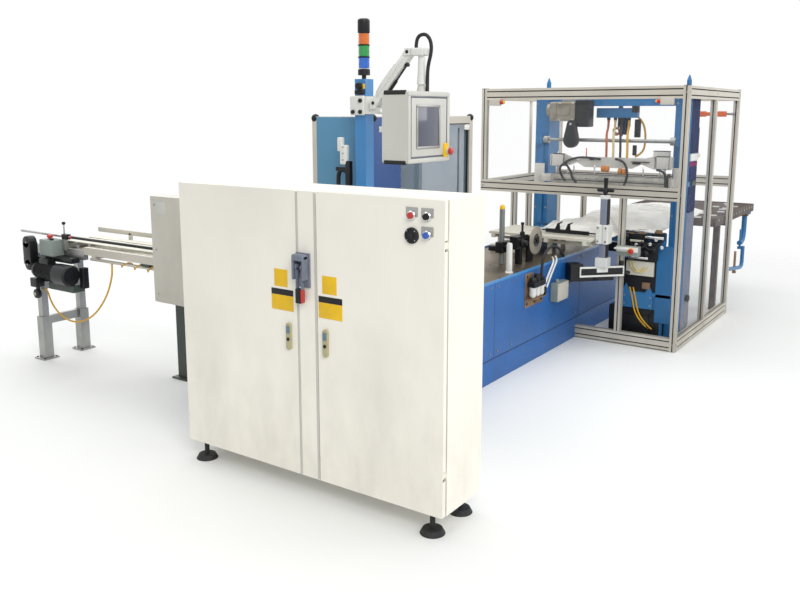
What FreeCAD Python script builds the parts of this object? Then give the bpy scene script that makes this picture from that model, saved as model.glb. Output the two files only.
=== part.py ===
import FreeCAD, Part
import math
import os
import re
import Sketcher
from FreeCAD import Placement, Rotation, Vector

# Stack packing machine: a control cabinet, an infeed belt conveyor, the bed with
# its guard housing, an operator panel on a spring arm, a sealing portal inside an
# aluminium profile enclosure, and the exit table. Millimetres.
# +X runs with the product, +Y away from the operator, +Z up. The origin is on
# the floor, under the middle of the bed.

doc = FreeCAD.newDocument("stack_packing_machine")
sheet = doc.addObject("Spreadsheet::Sheet", "sizes")

SIZES = {
    # Control cabinet
    "cabinet_offset": 789, "cabinet_side": -1243, "cabinet_width": 1523, "cabinet_depth": 320,
    "cabinet_height": 1317, "cabinet_base": 100, "cabinet_wall": 3, "cabinet_flange": 25,
    "door_depth": 23, "door_sheet": 3, "door_seal": 10, "door_gap": 5, "door_round": 5,
    "pillar_width": 110, "pillar_middle": -533, "mounting_plate": 4, "mounting_gap": 24,
    "hinge_inset": 12, "hinge_pin": 4, "hinge_half": 20, "hinge_height": 180,
    "foot_radius": 55, "foot_inset": 75, "foot_back": 45, "foot_pad": 22, "foot_stem": 12,
    "switch_base": 990, "switch_width": 80, "switch_height": 155, "switch_plate": 8,
    "switch_block": 24, "switch_reach": 40, "switch_pivot": 95, "lever_thickness": 6,
    "lever_width": 18, "grip_width": 38, "grip_depth": 26, "grip_height": 66, "grip_drop": 60,
    "latch_width": 28, "latch_height": 125, "latch_depth": 12, "latch_base": 691, "latch_edge": 38,
    "button_plate_width": 56, "button_plate_height": 38, "button_radius": 15, "button_pitch": 73,
    "button_high": 1364, "button_low": 1290, "button_y": -1090, "button_reach": 22,
    "socket_radius": 33, "socket_z": 1269,
    "side_box_depth": 100, "side_box_width": 500, "side_box_height": 640, "side_box_base": 625,
    "side_box_start": 600, "side_box_round": 6,
    # Infeed conveyor
    "infeed_offset": 210, "infeed_width": 360, "infeed_start": 350, "infeed_end": 1930,
    "rail_thickness": 30, "rail_height": 50, "rail_top": 866, "tie_height": 20, "tie_width": 40,
    "belt_top": 885, "belt_width": 70, "belt_pitch": 92, "belt_thickness": 4,
    "belt_overhang": 270, "roller_radius": 30,
    "stand_y": 2495, "stand_tube": 70, "stand_inner": 50, "stand_split": 312, "stand_plate": 120,
    "stand_top": 778, "stand_spacing": 304, "stand_plate_thickness": 10,
    "leg_inset": 61, "leg_y": 1308, "leg_size": 80,
    "guide_z": 925, "guide_radius": 8, "cable_radius": 6,
    # Bed
    "bed_length": 4000, "bed_width": 608, "bed_height": 644, "bed_lip": 12, "bed_lip_depth": 10,
    "bed_plate": 6, "bed_skirt": 170, "bed_skirt_inset": 6,
    "disc_radius": 105, "disc_thickness": 8, "disc_hub": 30, "axle_radius": 14, "disc_z": 834,
    "disc_lead": 535, "running_gap": 0.05,
    "lane_z": 830, "lane_thickness": 18, "lane_lead": 275, "lane_near": -640, "lane_far": 200,
    "column_size": 44, "column_lead": 148, "column_y": -695, "slot_rail_z": 600, "slot_rail_length": 352,
    "slot_rail_height": 45, "guide_column_top": 1110,
    # Guard housing
    "guard_inset": 120, "guard_y": -229, "guard_length": 1080, "guard_depth": 427,
    "guard_top": 1725, "guard_profile": 40, "guard_sheet": 5,
    # Operator post and spring arm
    "post_size": 70, "post_inset": 30, "post_y": -248, "post_top": 1925, "tower_radius": 32,
    "tower_pitch": 61, "tower_cap": 74, "tower_base": 32, "clamp_wall": 12, "clamp_base": 1743,
    "clamp_height": 92, "arm_offset": 20, "arm_y": -303, "arm_z": 1800, "arm_run": 213,
    "arm_rise": 251, "arm_height": 40, "arm_width": 44, "ear_thickness": 8, "ear_half": 17,
    "arm_pin": 8, "turret_radius": 22, "turret_pin": 12, "elbow_run": 69, "spigot_radius": 12,
    "panel_width": 388, "panel_height": 352, "panel_depth": 151, "panel_base": 1503,
    "panel_front": -630, "panel_round": 12, "panel_recess": 6, "panel_frame": 26,
    "socket_height": 30, "running_clearance": 0.3,
    # Enclosure
    "frame_inset": 1485, "frame_y": -1220, "frame_length": 1530, "frame_width": 1656,
    "frame_top": 1940, "frame_mid": 1120, "frame_low": 10, "profile_narrow": 45,
    "profile_wide": 90, "profile_slot": 9, "profile_slot_depth": 8, "frame_pane": 6,
    "mid_post_y": -794, "side_post_inset": 745,
    # Portal
    "portal_inset": 285, "portal_depth": 200, "column_width": 120, "portal_right": -1165,
    "portal_opening": 1010, "portal_top": 1872, "beam_height": 70, "beam_depth": 120,
    "tip_top": 2030, "tip_radius": 18, "tip_cone": 40, "shaft_z": 1538, "shaft_radius": 14,
    "slide_rail": 20, "slide_width": 40, "slide_base": 850, "slide_top": 1500,
    "carriage_depth": 30, "carriage_height": 160, "head_top": 1430, "bar_base": 1184,
    "bar_height": 88, "head_depth": 60, "yoke_base": 1330, "yoke_waist": 55, "yoke_thickness": 16,
    "jaw_top": 848, "jaw_height": 80, "jaw_leg": 80,
    # Exit table
    "exit_overlap": 300, "exit_length": 1450, "exit_top": 870, "exit_thickness": 70,
    "exit_near": -1165, "exit_width": 1000, "exit_wall": 8, "exit_roller": 22, "exit_pitch": 110,
    "bracket_radius": 24,
}
for row, (name, value) in enumerate(SIZES.items(), start=1):
    sheet.set(f"A{row}", name)
    sheet.set(f"B{row}", str(value))
    sheet.setAlias(f"B{row}", name)
doc.recompute()

# Places that follow from the sizes, by name.
PLACES = {
    "cabinet_front": "-bed_length / 2 - cabinet_offset",
    "infeed_near": "-bed_length / 2 - infeed_offset",
    "leg_x": "infeed_near + infeed_width - leg_inset",
    "guard_x": "guard_inset - bed_length / 2",
    "post_x": "post_inset - bed_length / 2",
    "arm_x": "post_x + arm_offset",
    "frame_x": "bed_length / 2 - frame_inset",
    "side_post_x": "frame_x + side_post_inset",
    "disc_x": "frame_x - disc_lead",
    "lane_start": "frame_x - lane_lead",
    "column_x": "frame_x - column_lead",
    "portal_x": "frame_x + portal_inset",
    "exit_start": "bed_length / 2 - exit_overlap",
    "exit_end": "exit_start + exit_length",
    "shell_front": "cabinet_front + door_depth + door_seal",
    "shell_depth": "cabinet_depth - door_depth - door_seal",
    "cabinet_far": "cabinet_side + cabinet_width",
    "pillar_low": "pillar_middle - pillar_width / 2",
    "pillar_high": "pillar_middle + pillar_width / 2",
    "hinge_x": "cabinet_front + hinge_inset",
    "switch_front": "cabinet_front - switch_plate",
    "lever_x": "cabinet_front - switch_plate - switch_reach / 2",
    "infeed_far": "infeed_near + infeed_width",
    "infeed_middle": "infeed_near + infeed_width / 2",
    "rail_base": "rail_top - rail_height",
    "roller_z": "belt_top - belt_thickness - roller_radius",
    "stand_x": "infeed_near + infeed_width / 2 - stand_spacing / 2",
    "table_z": "bed_height - bed_lip_depth",
    "bed_near": "-bed_width / 2",
    "lane_base": "lane_z - lane_thickness",
    "post_middle_x": "post_x + post_size / 2",
    "post_middle_y": "post_y + post_size / 2",
    "clamp_front": "post_y - clamp_wall",
    "elbow_y": "arm_y - arm_run",
    "elbow_z": "arm_z + arm_rise",
    "head_y": "arm_y - arm_run - elbow_run",
    "ear_gap": "arm_width / 2 + running_clearance",
    "panel_top": "panel_base + panel_height",
    "panel_left": "arm_x - panel_width / 2",
    "guard_end": "guard_x + guard_length",
    "guard_far": "guard_y + guard_depth",
    "frame_far": "frame_y + frame_width",
    "frame_end": "frame_x + frame_length",
    "left_column": "portal_right + column_width + portal_opening",
    "right_inner": "portal_right + column_width",
    "portal_middle": "portal_x + portal_depth / 2",
    "slide_front": "portal_x - slide_rail",
    "head_x": "portal_x - slide_rail - running_clearance - carriage_depth",
    "exit_far": "exit_near + exit_width",
}


def spelled(text):
    """Replace the names of places by what they stand for."""
    text = str(text)
    while any(word in PLACES for word in re.findall(r"[a-z_]+", text)):
        text = re.sub(r"[a-z_]+", lambda m: f"({PLACES[m[0]]})" if m[0] in PLACES else m[0], text)
    return text


def formula(text):
    """An expression for the document: sizes are read from the sheet."""
    return re.sub(r"[a-z_]+", lambda m: f"sizes.{m[0]}" if m[0] in SIZES else m[0], spelled(text))


def bind(item, **values):
    for prop, text in values.items():
        item.setExpression(prop, formula(text))


TURNS = {
    "z": Rotation(),
    "x": Rotation(Vector(0, 1, 0), 90),
    "y": Rotation(Vector(1, 0, 0), -90),
}


def place(item, at, turn=Rotation()):
    item.Placement = Placement(Vector(), turn)
    for axis, text in zip("xyz", at):
        item.setExpression(f"Placement.Base.{axis}", formula(text))
    return item


def box(name, size, at, turn=Rotation()):
    item = doc.addObject("Part::Box", name)
    bind(item, Length=size[0], Width=size[1], Height=size[2])
    return place(item, at, turn)


def rod(name, radius, length, at, axis="z"):
    item = doc.addObject("Part::Cylinder", name)
    bind(item, Radius=radius, Height=length)
    return place(item, at, TURNS[axis])


def cone(name, low, high, length, at, axis="z"):
    item = doc.addObject("Part::Cone", name)
    bind(item, Radius1=low, Radius2=high, Height=length)
    return place(item, at, TURNS[axis])


def join(name, *pieces):
    item = doc.addObject("Part::MultiFuse", name)
    item.Shapes = list(pieces)
    return item


def cut(name, base, *tools):
    for index, tool in enumerate(tools):
        item = doc.addObject("Part::Cut", f"{name}_{index}")
        item.Base, item.Tool = base, tool
        base = item
    return base


PLANES = {"xy": "XY_Plane", "xz": "XZ_Plane", "yz": "YZ_Plane"}


def outline(body, plane, corners):
    """A closed sketch of straight edges, each corner tied to the sizes."""
    sketch = body.newObject("Sketcher::SketchObject", body.Name + "_outline")
    origin = [f for f in body.Origin.OriginFeatures if f.Role == PLANES[plane]][0]
    sketch.AttachmentSupport = [(origin, "")]
    sketch.MapMode = "FlatFace"
    count = len(corners)
    spots = [Vector(100 * math.cos(2 * math.pi * i / count), 100 * math.sin(2 * math.pi * i / count), 0)
             for i in range(count)]
    for i in range(count):
        sketch.addGeometry(Part.LineSegment(spots[i], spots[(i + 1) % count]))
    for i in range(count):
        sketch.addConstraint(Sketcher.Constraint("Coincident", i, 2, (i + 1) % count, 1))
    for i, corner in enumerate(corners):
        for kind, text, guess in zip(("DistanceX", "DistanceY"), corner, (spots[i].x, spots[i].y)):
            number = sketch.addConstraint(Sketcher.Constraint(kind, -1, 1, i, 1, guess))
            sketch.setExpression(f"Constraints[{number}]", formula(text))
    return sketch


def slab(name, plane, corners, length, at, turn=Rotation()):
    """A plate of any outline, padded from its plane."""
    body = doc.addObject("PartDesign::Body", name)
    sketch = outline(body, plane, corners)
    pad = body.newObject("PartDesign::Pad", name + "_pad")
    pad.Profile = sketch
    bind(pad, Length=length)
    return place(body, at, turn)


def parallel_edges(shape, direction):
    """Names of the straight edges that run along a direction."""
    names = []
    for number, edge in enumerate(shape.Edges, start=1):
        if edge.Curve.TypeId == "Part::GeomLine" and abs(edge.Curve.Direction * direction) > 0.999:
            names.append(f"Edge{number}")
    return names


def rounded(body, radius, direction):
    """Round the edges of a body that run along a direction."""
    doc.recompute()
    base = body.Tip
    fillet = body.newObject("PartDesign::Fillet", body.Name + "_round")
    fillet.Base = (base, parallel_edges(base.Shape, direction))
    bind(fillet, Radius=radius)
    return body


def rectangle(width, height):
    return [("0", "0"), (width, "0"), (width, height), ("0", height)]


def spots_on(name, route):
    """Points of a route, each a vertex whose place is tied to the sizes."""
    marks = []
    for x, y, z in route:
        mark = doc.addObject("Part::Vertex", name + "_spot")
        bind(mark, X=x, Y=y, Z=z)
        marks.append(mark)
    doc.recompute()
    return [Vector(float(m.X), float(m.Y), float(m.Z)) for m in marks]


def tube(name, radius, route):
    """A cord of straight runs joined by tangent arcs through the bends of a route."""
    points = spots_on(name, route)
    edges = []
    start = points[0]
    radii = []
    for before, corner, after in zip(points, points[1:], points[2:]):
        run_in, run_out = corner - before, after - corner
        turn = run_in.getAngle(run_out)
        reach = 0.45 * min(run_in.Length, run_out.Length)
        radii.append(round(reach / math.tan(turn / 2)))
        run_in.normalize()
        run_out.normalize()
        first, last = corner - run_in * reach, corner + run_out * reach
        inward = (run_out - run_in).normalize()
        bend = reach / math.tan(turn / 2)
        middle = corner + inward * (math.hypot(bend, reach) - bend)
        edges.append(Part.LineSegment(start, first).toShape())
        edges.append(Part.Arc(first, middle, last).toShape())
        start = last
    edges.append(Part.LineSegment(start, points[-1]).toShape())
    path = Part.Wire(edges)
    section = Part.Wire(Part.makeCircle(radius, points[0], points[1] - points[0]))
    item = doc.addObject("Part::Feature", name)
    item.Shape = path.makePipeShell([section], True, False)
    expected = math.pi * radius ** 2 * path.Length
    print(name, "bend radii", radii, "length", round(path.Length),
          "volume ratio", round(item.Shape.Volume / expected, 4))
    return item


nodes = []


def node(label, *pieces):
    """Name one piece, or a group of like pieces that don't touch."""
    item = pieces[0]
    if len(pieces) > 1:
        item = doc.addObject("Part::Compound", f"{label}_group")
        item.Links = list(pieces)
    item.Label = label
    nodes.append(item)
    return item


def cabinet():
    shell = box("shell_outer", ("shell_depth", "cabinet_width", "cabinet_height"),
                ("shell_front", "cabinet_side", "cabinet_base"))
    hollow = box("shell_hollow",
                 ("shell_depth - 2 * cabinet_wall", "cabinet_width - 2 * cabinet_wall",
                  "cabinet_height - 2 * cabinet_wall"),
                 ("shell_front + cabinet_wall", "cabinet_side + cabinet_wall",
                  "cabinet_base + cabinet_wall"))
    mouth = box("shell_mouth",
                ("2 * cabinet_wall", "cabinet_width - 2 * cabinet_flange",
                 "cabinet_height - 2 * cabinet_flange"),
                ("shell_front - cabinet_wall / 2", "cabinet_side + cabinet_flange",
                 "cabinet_base + cabinet_flange"))
    pillar = box("pillar", ("door_depth + door_seal + cabinet_wall", "pillar_width", "cabinet_height"),
                 ("cabinet_front", "pillar_low", "cabinet_base"))
    plate_x = "cabinet_front + cabinet_depth - mounting_gap - mounting_plate"
    plate = box("mounting_plate", ("mounting_plate", "cabinet_width - 120", "cabinet_height - 120"),
                (plate_x, "cabinet_side + 60", "cabinet_base + 60"))
    studs = [rod("plate_stud", "8", "mounting_gap", (f"{plate_x} + mounting_plate", y, z), "x")
             for y in ("cabinet_side + 90", "cabinet_far - 90")
             for z in ("cabinet_base + 90", "cabinet_base + cabinet_height - 90")]
    arms = []
    for low, z in hinge_places():
        y = f"cabinet_side + hinge_inset" if low else "cabinet_far - hinge_inset"
        eye = rod("hinge_eye", "hinge_pin + 3.5", "2 * (hinge_half - 6.3)", ("hinge_x", y, f"{z} - hinge_half + 6.3"))
        arm = box("hinge_arm", ("shell_front - (hinge_x)", "8", "2 * (hinge_half - 6.3)"),
                  ("hinge_x", f"{y} - 4", f"{z} - hinge_half + 6.3"))
        bore = rod("hinge_bore", "hinge_pin + running_gap", "2 * hinge_half", ("hinge_x", y, f"{z} - hinge_half"))
        arms.append(cut("hinge_bracket", join("hinge_joined", eye, arm), bore))
    node("cabinet_shell", join("shell_joined", cut("shell_open", shell, hollow, mouth), pillar, plate, *studs, *arms))
    feet = []
    for y in ("cabinet_side + foot_inset", "cabinet_far - foot_inset"):
        for x in ("cabinet_front + foot_back", "cabinet_front + cabinet_depth - foot_back"):
            pad = cone("foot_pad_body", "foot_radius", "foot_radius - 12", "foot_pad", (x, y, "0"))
            stem = rod("foot_stem_body", "foot_stem", "cabinet_base - foot_pad", (x, y, "foot_pad"))
            nut = rod("foot_nut", "foot_stem + 10", "12", (x, y, "cabinet_base - 12"))
            feet.append(join("foot", pad, stem, nut))
    node("cabinet_feet", *feet)


def hinge_places():
    """Both sides, low and high on the doors: (is the low-Y side, height)."""
    return [(low, z) for low in (True, False)
            for z in ("(cabinet_base + hinge_height)", "(cabinet_base + cabinet_height - hinge_height)")]


def door(label, low, high, low_side, latch_y):
    """A folded pan with its hinge pins and its latch."""
    width = f"({high} - ({low}))"
    pan = rounded(slab(f"{label}_pan", "yz", rectangle(width, "cabinet_height"), "door_depth",
                       ("cabinet_front", low, "cabinet_base")), "door_round", Vector(1, 0, 0))
    tools = [box(f"{label}_inside",
                 ("door_depth", f"{width} - 2 * door_sheet", "cabinet_height - 2 * door_sheet"),
                 ("cabinet_front + door_sheet", f"{low} + door_sheet", "cabinet_base + door_sheet"))]
    hinges = []
    edge = "cabinet_side" if low_side else "cabinet_far - door_sheet"
    y = "(cabinet_side + hinge_inset)" if low_side else "(cabinet_far - hinge_inset)"
    for side, z in hinge_places():
        if side != low_side:
            continue
        tools.append(box(f"{label}_notch", ("door_depth", "door_sheet", "2 * hinge_half + 4"),
                         ("cabinet_front + door_sheet", edge, f"{z} - hinge_half - 2")))
        hinges.append(rod(f"{label}_pin", "hinge_pin", "2 * hinge_half", ("hinge_x", y, f"{z} - hinge_half")))
        for shift in ("- hinge_half", "+ hinge_half - 6"):
            hinges.append(box(f"{label}_lug", ("hinge_inset + hinge_pin - door_sheet", "8", "6"),
                              ("cabinet_front + door_sheet", f"{y} - 4", f"{z} {shift}")))
    node(label, join(f"{label}_joined", cut(f"{label}_cut", pan, *tools), *hinges))
    plate = rounded(slab(f"{label}_latch_plate", "yz", rectangle("latch_width", "latch_height"), "latch_depth",
                         ("cabinet_front - latch_depth", latch_y, "latch_base")), "latch_width / 2 - 1",
                    Vector(1, 0, 0))
    node(f"{label}_latch", plate)


def main_switch():
    pivot_z = "switch_base + switch_pivot"
    plate = rounded(slab("switch_plate_body", "yz", rectangle("switch_width", "switch_height"), "switch_plate",
                         ("switch_front", "pillar_middle - switch_width / 2", "switch_base")), "6",
                    Vector(1, 0, 0))
    block = slab("switch_block_body", "xz",
                 [("0", "0"), ("0", "-80"), ("-switch_reach", "-55"), ("-switch_reach", "15"), ("-20", "40"), ("0", "40")],
                 "switch_block", ("switch_front", "pillar_middle + switch_block / 2", pivot_z))
    side = box("switch_side", ("20", "14", "120"), ("switch_front - 20", "pillar_middle - 38", "switch_base + 20"))
    pin = rod("switch_pin", "6", "switch_block + 2 * lever_thickness + 1.2",
              ("lever_x", "pillar_middle - switch_block / 2 - lever_thickness - 0.6", pivot_z), "y")
    node("switch_housing", join("switch_joined", plate, block, side, pin))
    pieces = []
    bores = []
    for low in ("pillar_middle - switch_block / 2 - lever_thickness - 0.3", "pillar_middle + switch_block / 2 + 0.3"):
        pieces.append(rod("lever_boss", "lever_width / 2 + 6", "lever_thickness", ("lever_x", low, pivot_z), "y"))
        pieces.append(box("lever_arm", ("lever_width", "lever_thickness", "switch_pivot + 40"),
                          ("lever_x - lever_width / 2", low, "switch_base - 40")))
        bores.append(rod("lever_bore", "6 + running_gap", "lever_thickness + 2", ("lever_x", f"{low} - 1", pivot_z), "y"))
    grip = rounded(slab("lever_grip", "xy", rectangle("grip_depth", "grip_width"), "grip_height",
                        ("lever_x - grip_depth / 2", "pillar_middle - grip_width / 2", "switch_base - grip_drop - 8")),
                   "5", Vector(0, 0, 1))
    node("switch_handle", cut("lever", join("lever_joined", *pieces, grip), *bores))


def cabinet_controls():
    pieces = []
    for column, z in ((0, "button_high"), (1, "button_high"), (1, "button_low")):
        y = f"button_y - {column} * button_pitch"
        plate = box("legend", ("3", "button_plate_width", "button_plate_height"),
                    ("cabinet_front - 3", f"{y} - button_plate_width / 2", f"{z} - button_plate_height / 2"))
        head = rod("button", "button_radius", "button_reach", ("cabinet_front - button_reach", y, f"{z} - 14"), "x")
        pieces.append(join("button_unit", plate, head))
    pieces.append(rod("panel_socket", "socket_radius", "12", ("cabinet_front - 12", "button_y", "socket_z"), "x"))
    node("cabinet_buttons", *pieces)


def side_box():
    body = slab("side_box_pad", "yz", rectangle("side_box_width", "side_box_height"), "side_box_depth",
                ("infeed_near - side_box_depth", "side_box_start", "side_box_base"))
    node("side_box", rounded(body, "side_box_round", Vector(1, 0, 0)))


def infeed_frame():
    length = "infeed_end - infeed_start"
    pieces = [box("rail", ("rail_thickness", length, "rail_height"), (x, "infeed_start", "rail_base"))
              for x in ("infeed_near", "infeed_far - rail_thickness")]
    for y in ("infeed_start + 150", "infeed_start + 700", "infeed_end - 120"):
        pieces.append(box("rail_tie", ("infeed_width", "tie_width", "tie_height"), ("infeed_near", y, "rail_base - tie_height")))
    pieces.append(rod("cable_duct", "10", f"{length} - 100", ("infeed_near + 24", "infeed_start + 60", "rail_base - tie_height - 9"), "y"))
    pieces.append(box("bed_hanger", ("rail_thickness", "infeed_start + bed_near + 40", "260"),
                      ("infeed_far - rail_thickness", "-bed_near", "rail_base - 256")))
    pieces.append(rod("cable_gland", "9", "17", ("infeed_near + 24", "1672", "770")))
    node("infeed_rails", join("rails_joined", *pieces))
    belts = []
    rollers = []
    low, high = "(infeed_start - 20)", "(infeed_end + belt_overhang)"
    for index in (-1, 0, 1):
        x = f"infeed_middle - belt_width / 2 + {index} * belt_pitch"
        loops = []
        for grow in ("belt_thickness", "0"):
            radius = f"(roller_radius + {grow})"
            core = box("belt_core", ("belt_width", f"{high} - {low}", f"2 * {radius}"),
                       (x, low, f"roller_z - {radius}"))
            ends = [rod("belt_end", radius, "belt_width", (x, y, "roller_z"), "x") for y in (low, high)]
            loops.append(join("belt_loop", core, *ends))
        belts.append(cut("belt", *loops))
    for y in (low, high):
        drum = rod("roller_drum", "roller_radius - running_clearance", "infeed_width - 2 * rail_thickness - 8",
                   ("infeed_near + rail_thickness + 4", y, "roller_z"), "x")
        axle = rod("roller_axle", "9", "infeed_width", ("infeed_near", y, "roller_z"), "x")
        rollers.append(join("roller", drum, axle))
    node("infeed_belts", *belts)
    node("infeed_rollers", *rollers)


def infeed_guides():
    near_x = "infeed_near - 12"
    rod_near = rod("near_guide", "guide_radius", "1500", (near_x, "infeed_end - 800", "guide_z"), "y")
    post = box("near_post", ("24", "30", "guide_z - rail_base + 22"), ("infeed_near - 24", "infeed_end - 300", "rail_base"))
    lever = join("near_lever", rod("lever_stem", "5", "56", (near_x, "infeed_end - 285", "guide_z")),
                 rod("lever_ball", "11", "20", (near_x, "infeed_end - 285", "guide_z + 50")))
    far_rod = box("far_guide", ("14", "1300", "32"), ("infeed_far - 22", "infeed_end - 990", "guide_z - 16"))
    far_posts = [box("far_post", ("14", "30", "guide_z - rail_top"), ("infeed_far - 22", y, "rail_top"))
                 for y in ("infeed_end - 60", "infeed_end - 860")]
    node("infeed_guides", join("near_joined", rod_near, post, lever), join("far_joined", far_rod, *far_posts))


def infeed_stand():
    pieces = []
    for x in ("(stand_x)", "(stand_x + stand_spacing)"):
        pieces.append(box("foot_plate", ("stand_plate", "stand_plate", "stand_plate_thickness"),
                          (f"{x} - stand_plate / 2", "stand_y - stand_plate / 2", "0")))
        pieces.append(box("outer_leg", ("stand_tube", "stand_tube", "stand_split - stand_plate_thickness"),
                          (f"{x} - stand_tube / 2", "stand_y - stand_tube / 2", "stand_plate_thickness")))
        pieces.append(box("inner_leg", ("stand_inner", "stand_inner", "stand_top - stand_split"),
                          (f"{x} - stand_inner / 2", "stand_y - stand_inner / 2", "stand_split")))
    pieces.append(box("cross_bar", ("stand_spacing", "30", "60"), ("stand_x", "stand_y - 15", "stand_split - 62")))
    pieces.append(box("cross_plate", ("stand_spacing", "8", "80"), ("stand_x", "stand_y + 17", "500")))
    for x in ("infeed_near", "infeed_far - rail_thickness"):
        pieces.append(box("head_rail", ("rail_thickness", "stand_y + 60 - infeed_end", "roller_z - 9.3 - stand_top"),
                          (x, "infeed_end", "stand_top")))
    pieces.append(rod("cable_end", "9", "17", ("infeed_near + 24", "2455", "515"), "y"))
    pieces.append(box("head_tie", ("infeed_width", "60", "24"), ("infeed_near", "stand_y - 30", "stand_top")))
    node("infeed_stand", join("stand_joined", *pieces))
    top = "rail_base"
    node("infeed_leg", join("leg_joined",
                            box("leg_post", ("leg_size", "leg_size", top), ("leg_x - leg_size / 2", "leg_y - leg_size / 2", "0")),
                            box("leg_foot", ("leg_size + 60", "leg_size + 60", "10"),
                                ("leg_x - leg_size / 2 - 30", "leg_y - leg_size / 2 - 30", "0")),
                            box("leg_arm", ("infeed_width", "leg_size", "18"), ("infeed_near", "leg_y - leg_size / 2", f"{top} - 18"))))


def infeed_drive():
    motor_x = "(infeed_near - 95)"
    motor = rod("drive_motor", "72", "300", (motor_x, "stand_y - 400", "650"), "y")
    cowl = rod("motor_cowl", "76", "60", (motor_x, "stand_y - 440", "650"), "y")
    terminal = box("motor_terminal", ("70", "110", "50"), (f"{motor_x} - 35", "stand_y - 330", "700"))
    gear = box("drive_gear", ("150", "120", "170"), (f"{motor_x} - 75", "stand_y - 100", "565"))
    plate = box("drive_plate", ("20", "90", "283"), ("infeed_near - 20", "stand_y - 30", "563"))
    pulleys = [rod("guard_low", "62", "60", (f"{motor_x} - 5", "stand_y + 42", "705"), "x"),
               rod("guard_high", "45", "60", (f"{motor_x} - 5", "stand_y + 60", "843"), "x"),
               box("guard_middle", ("60", "100", "140"), (f"{motor_x} - 5", "stand_y - 5", "705"))]
    wheel = rod("hand_wheel", "46", "30", (f"{motor_x} - 10", "stand_y - 15", "497"), "x")
    wheel_stem = box("wheel_stem", ("30", "30", "60"), (f"{motor_x} - 10", "stand_y - 30", "520"))
    node("infeed_drive", join("drive_joined", motor, cowl, terminal, gear, plate, wheel, wheel_stem, *pulleys))
    case = rounded(slab("control_pad", "yz", rectangle("165", "100"), "68", ("infeed_near - 68", "2290", "766")), "5",
                   Vector(1, 0, 0))
    stop = rod("control_stop", "20", "38", ("infeed_near - 106", "2372", "822"), "x")
    node("infeed_control", join("control_joined", case, stop))


def infeed_cable():
    """The yellow lead that hangs in a loose loop from the duct back to the stand."""
    x = "infeed_near + 24"
    route = [(x, "1672", "770"), (x, "1672", "715"), (x, "1695", "650"), (x, "1733", "575"), (x, "1786", "505"),
             (x, "1850", "440"), (x, "1925", "385"), (x, "2010", "345"), (x, "2100", "322"), (x, "2190", "322"),
             (x, "2275", "345"), (x, "2345", "385"), (x, "2395", "440"), (x, "2424", "515"), (x, "2455", "515")]
    node("infeed_cable", tube("cable_tube", SIZES["cable_radius"], route))


def bed():
    length = "bed_length"
    skirt = box("bed_skirt_body", (f"{length} - 2 * bed_skirt_inset", "bed_width - 2 * bed_skirt_inset", "bed_skirt"),
                ("-bed_length / 2 + bed_skirt_inset", "bed_near + bed_skirt_inset", "0"))
    body = box("bed_body", (length, "bed_width", "table_z - bed_plate - bed_skirt"), ("-bed_length / 2", "bed_near", "bed_skirt"))
    lips = [box("bed_lip_bar", (length, "bed_lip", "bed_lip_depth + bed_plate"), ("-bed_length / 2", y, "table_z - bed_plate"))
            for y in ("bed_near", "-bed_near - bed_lip")]
    node("bed_base", join("bed_joined", skirt, body, *lips))
    node("bed_top", box("bed_top_plate", (length, "bed_width - 2 * bed_lip", "bed_plate"),
                        ("-bed_length / 2", "bed_near + bed_lip", "table_z - bed_plate")))


def bed_fittings():
    rails = [box("cross_rail_body", ("36", "250", "44"), (f"{x}", "-60", "table_z")) for x in (240, 480)]
    caps = [box("cross_rail_cap", ("40", "250", "12"), (f"{x} - 2", "-60", "table_z + 44")) for x in (240, 480)]
    node("bed_tracks", *[join("track", rail, cap) for rail, cap in zip(rails, caps)])
    sensor = join("sensor_joined", rod("sensor_stem", "19", "1102 - table_z", ("-213", "-150", "table_z")),
                  box("sensor_block", ("90", "60", "80"), ("-260", "-180", "table_z + 120")))
    node("film_posts", rod("white_post", "22", "849 - table_z", ("-326", "-262", "table_z")), sensor)
    bracket = [box("disc_foot", ("90", "16", "disc_z - table_z + 30"), ("disc_x - 45", "-286", "table_z")),
               rod("disc_axle", "axle_radius", "64", ("disc_x", "-346", "disc_z"), "y"),
               box("hub_block", ("180", "60", "90"), ("disc_x - 225", "-290", "disc_z - 45")),
               box("hub_foot", ("40", "40", "disc_z - table_z"), ("disc_x - 160", "-280", "table_z"))]
    node("disc_bracket", join("bracket_joined", *bracket))
    plate = rod("disc_plate", "disc_radius", "disc_thickness", ("disc_x", "-332", "disc_z"), "y")
    hub = rod("disc_hub_body", "disc_hub", "50", ("disc_x", "-336.3", "disc_z"), "y")
    bore = rod("disc_bore", "axle_radius + running_gap", "60", ("disc_x", "-340", "disc_z"), "y")
    node("spreader_disc", cut("disc_cut", join("disc_joined", plate, hub), bore))
    # The lane plate over the bed and the white film that lies on it
    top = box("lane_plate", ("portal_x - 110 - lane_start", "lane_far - lane_near", "lane_thickness"),
              ("lane_start", "lane_near", "lane_base"))
    beams = [box("lane_beam", ("portal_x - 110 - lane_start", "30", "30"), ("lane_start", f"{y}", "lane_base - 30"))
             for y in (-610, -300, -40, 150)]
    legs = [box("lane_leg", ("30", "30", "lane_base - 30 - table_z"), (f"lane_start + {x}", f"{y}", "table_z"))
            for x in (110, 360) for y in (-282, 150)]
    ties = [box("lane_tie", ("30", "790", "20"), (f"lane_start + {x}", "-610", "lane_base - 50")) for x in (110, 360)]
    node("film_table", join("lane_joined", top, *beams, *legs, *ties))
    profile = [("160", "lane_z"), ("440", "lane_z"), ("440", "lane_z + 90"), ("300", "lane_z + 60"), ("160", "lane_z + 30")]
    film = slab("film_pad", "xz", profile, "lane_far - lane_near - 180", ("lane_start", "lane_far - 60", "0"))
    node("film_sheet", film)


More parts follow.
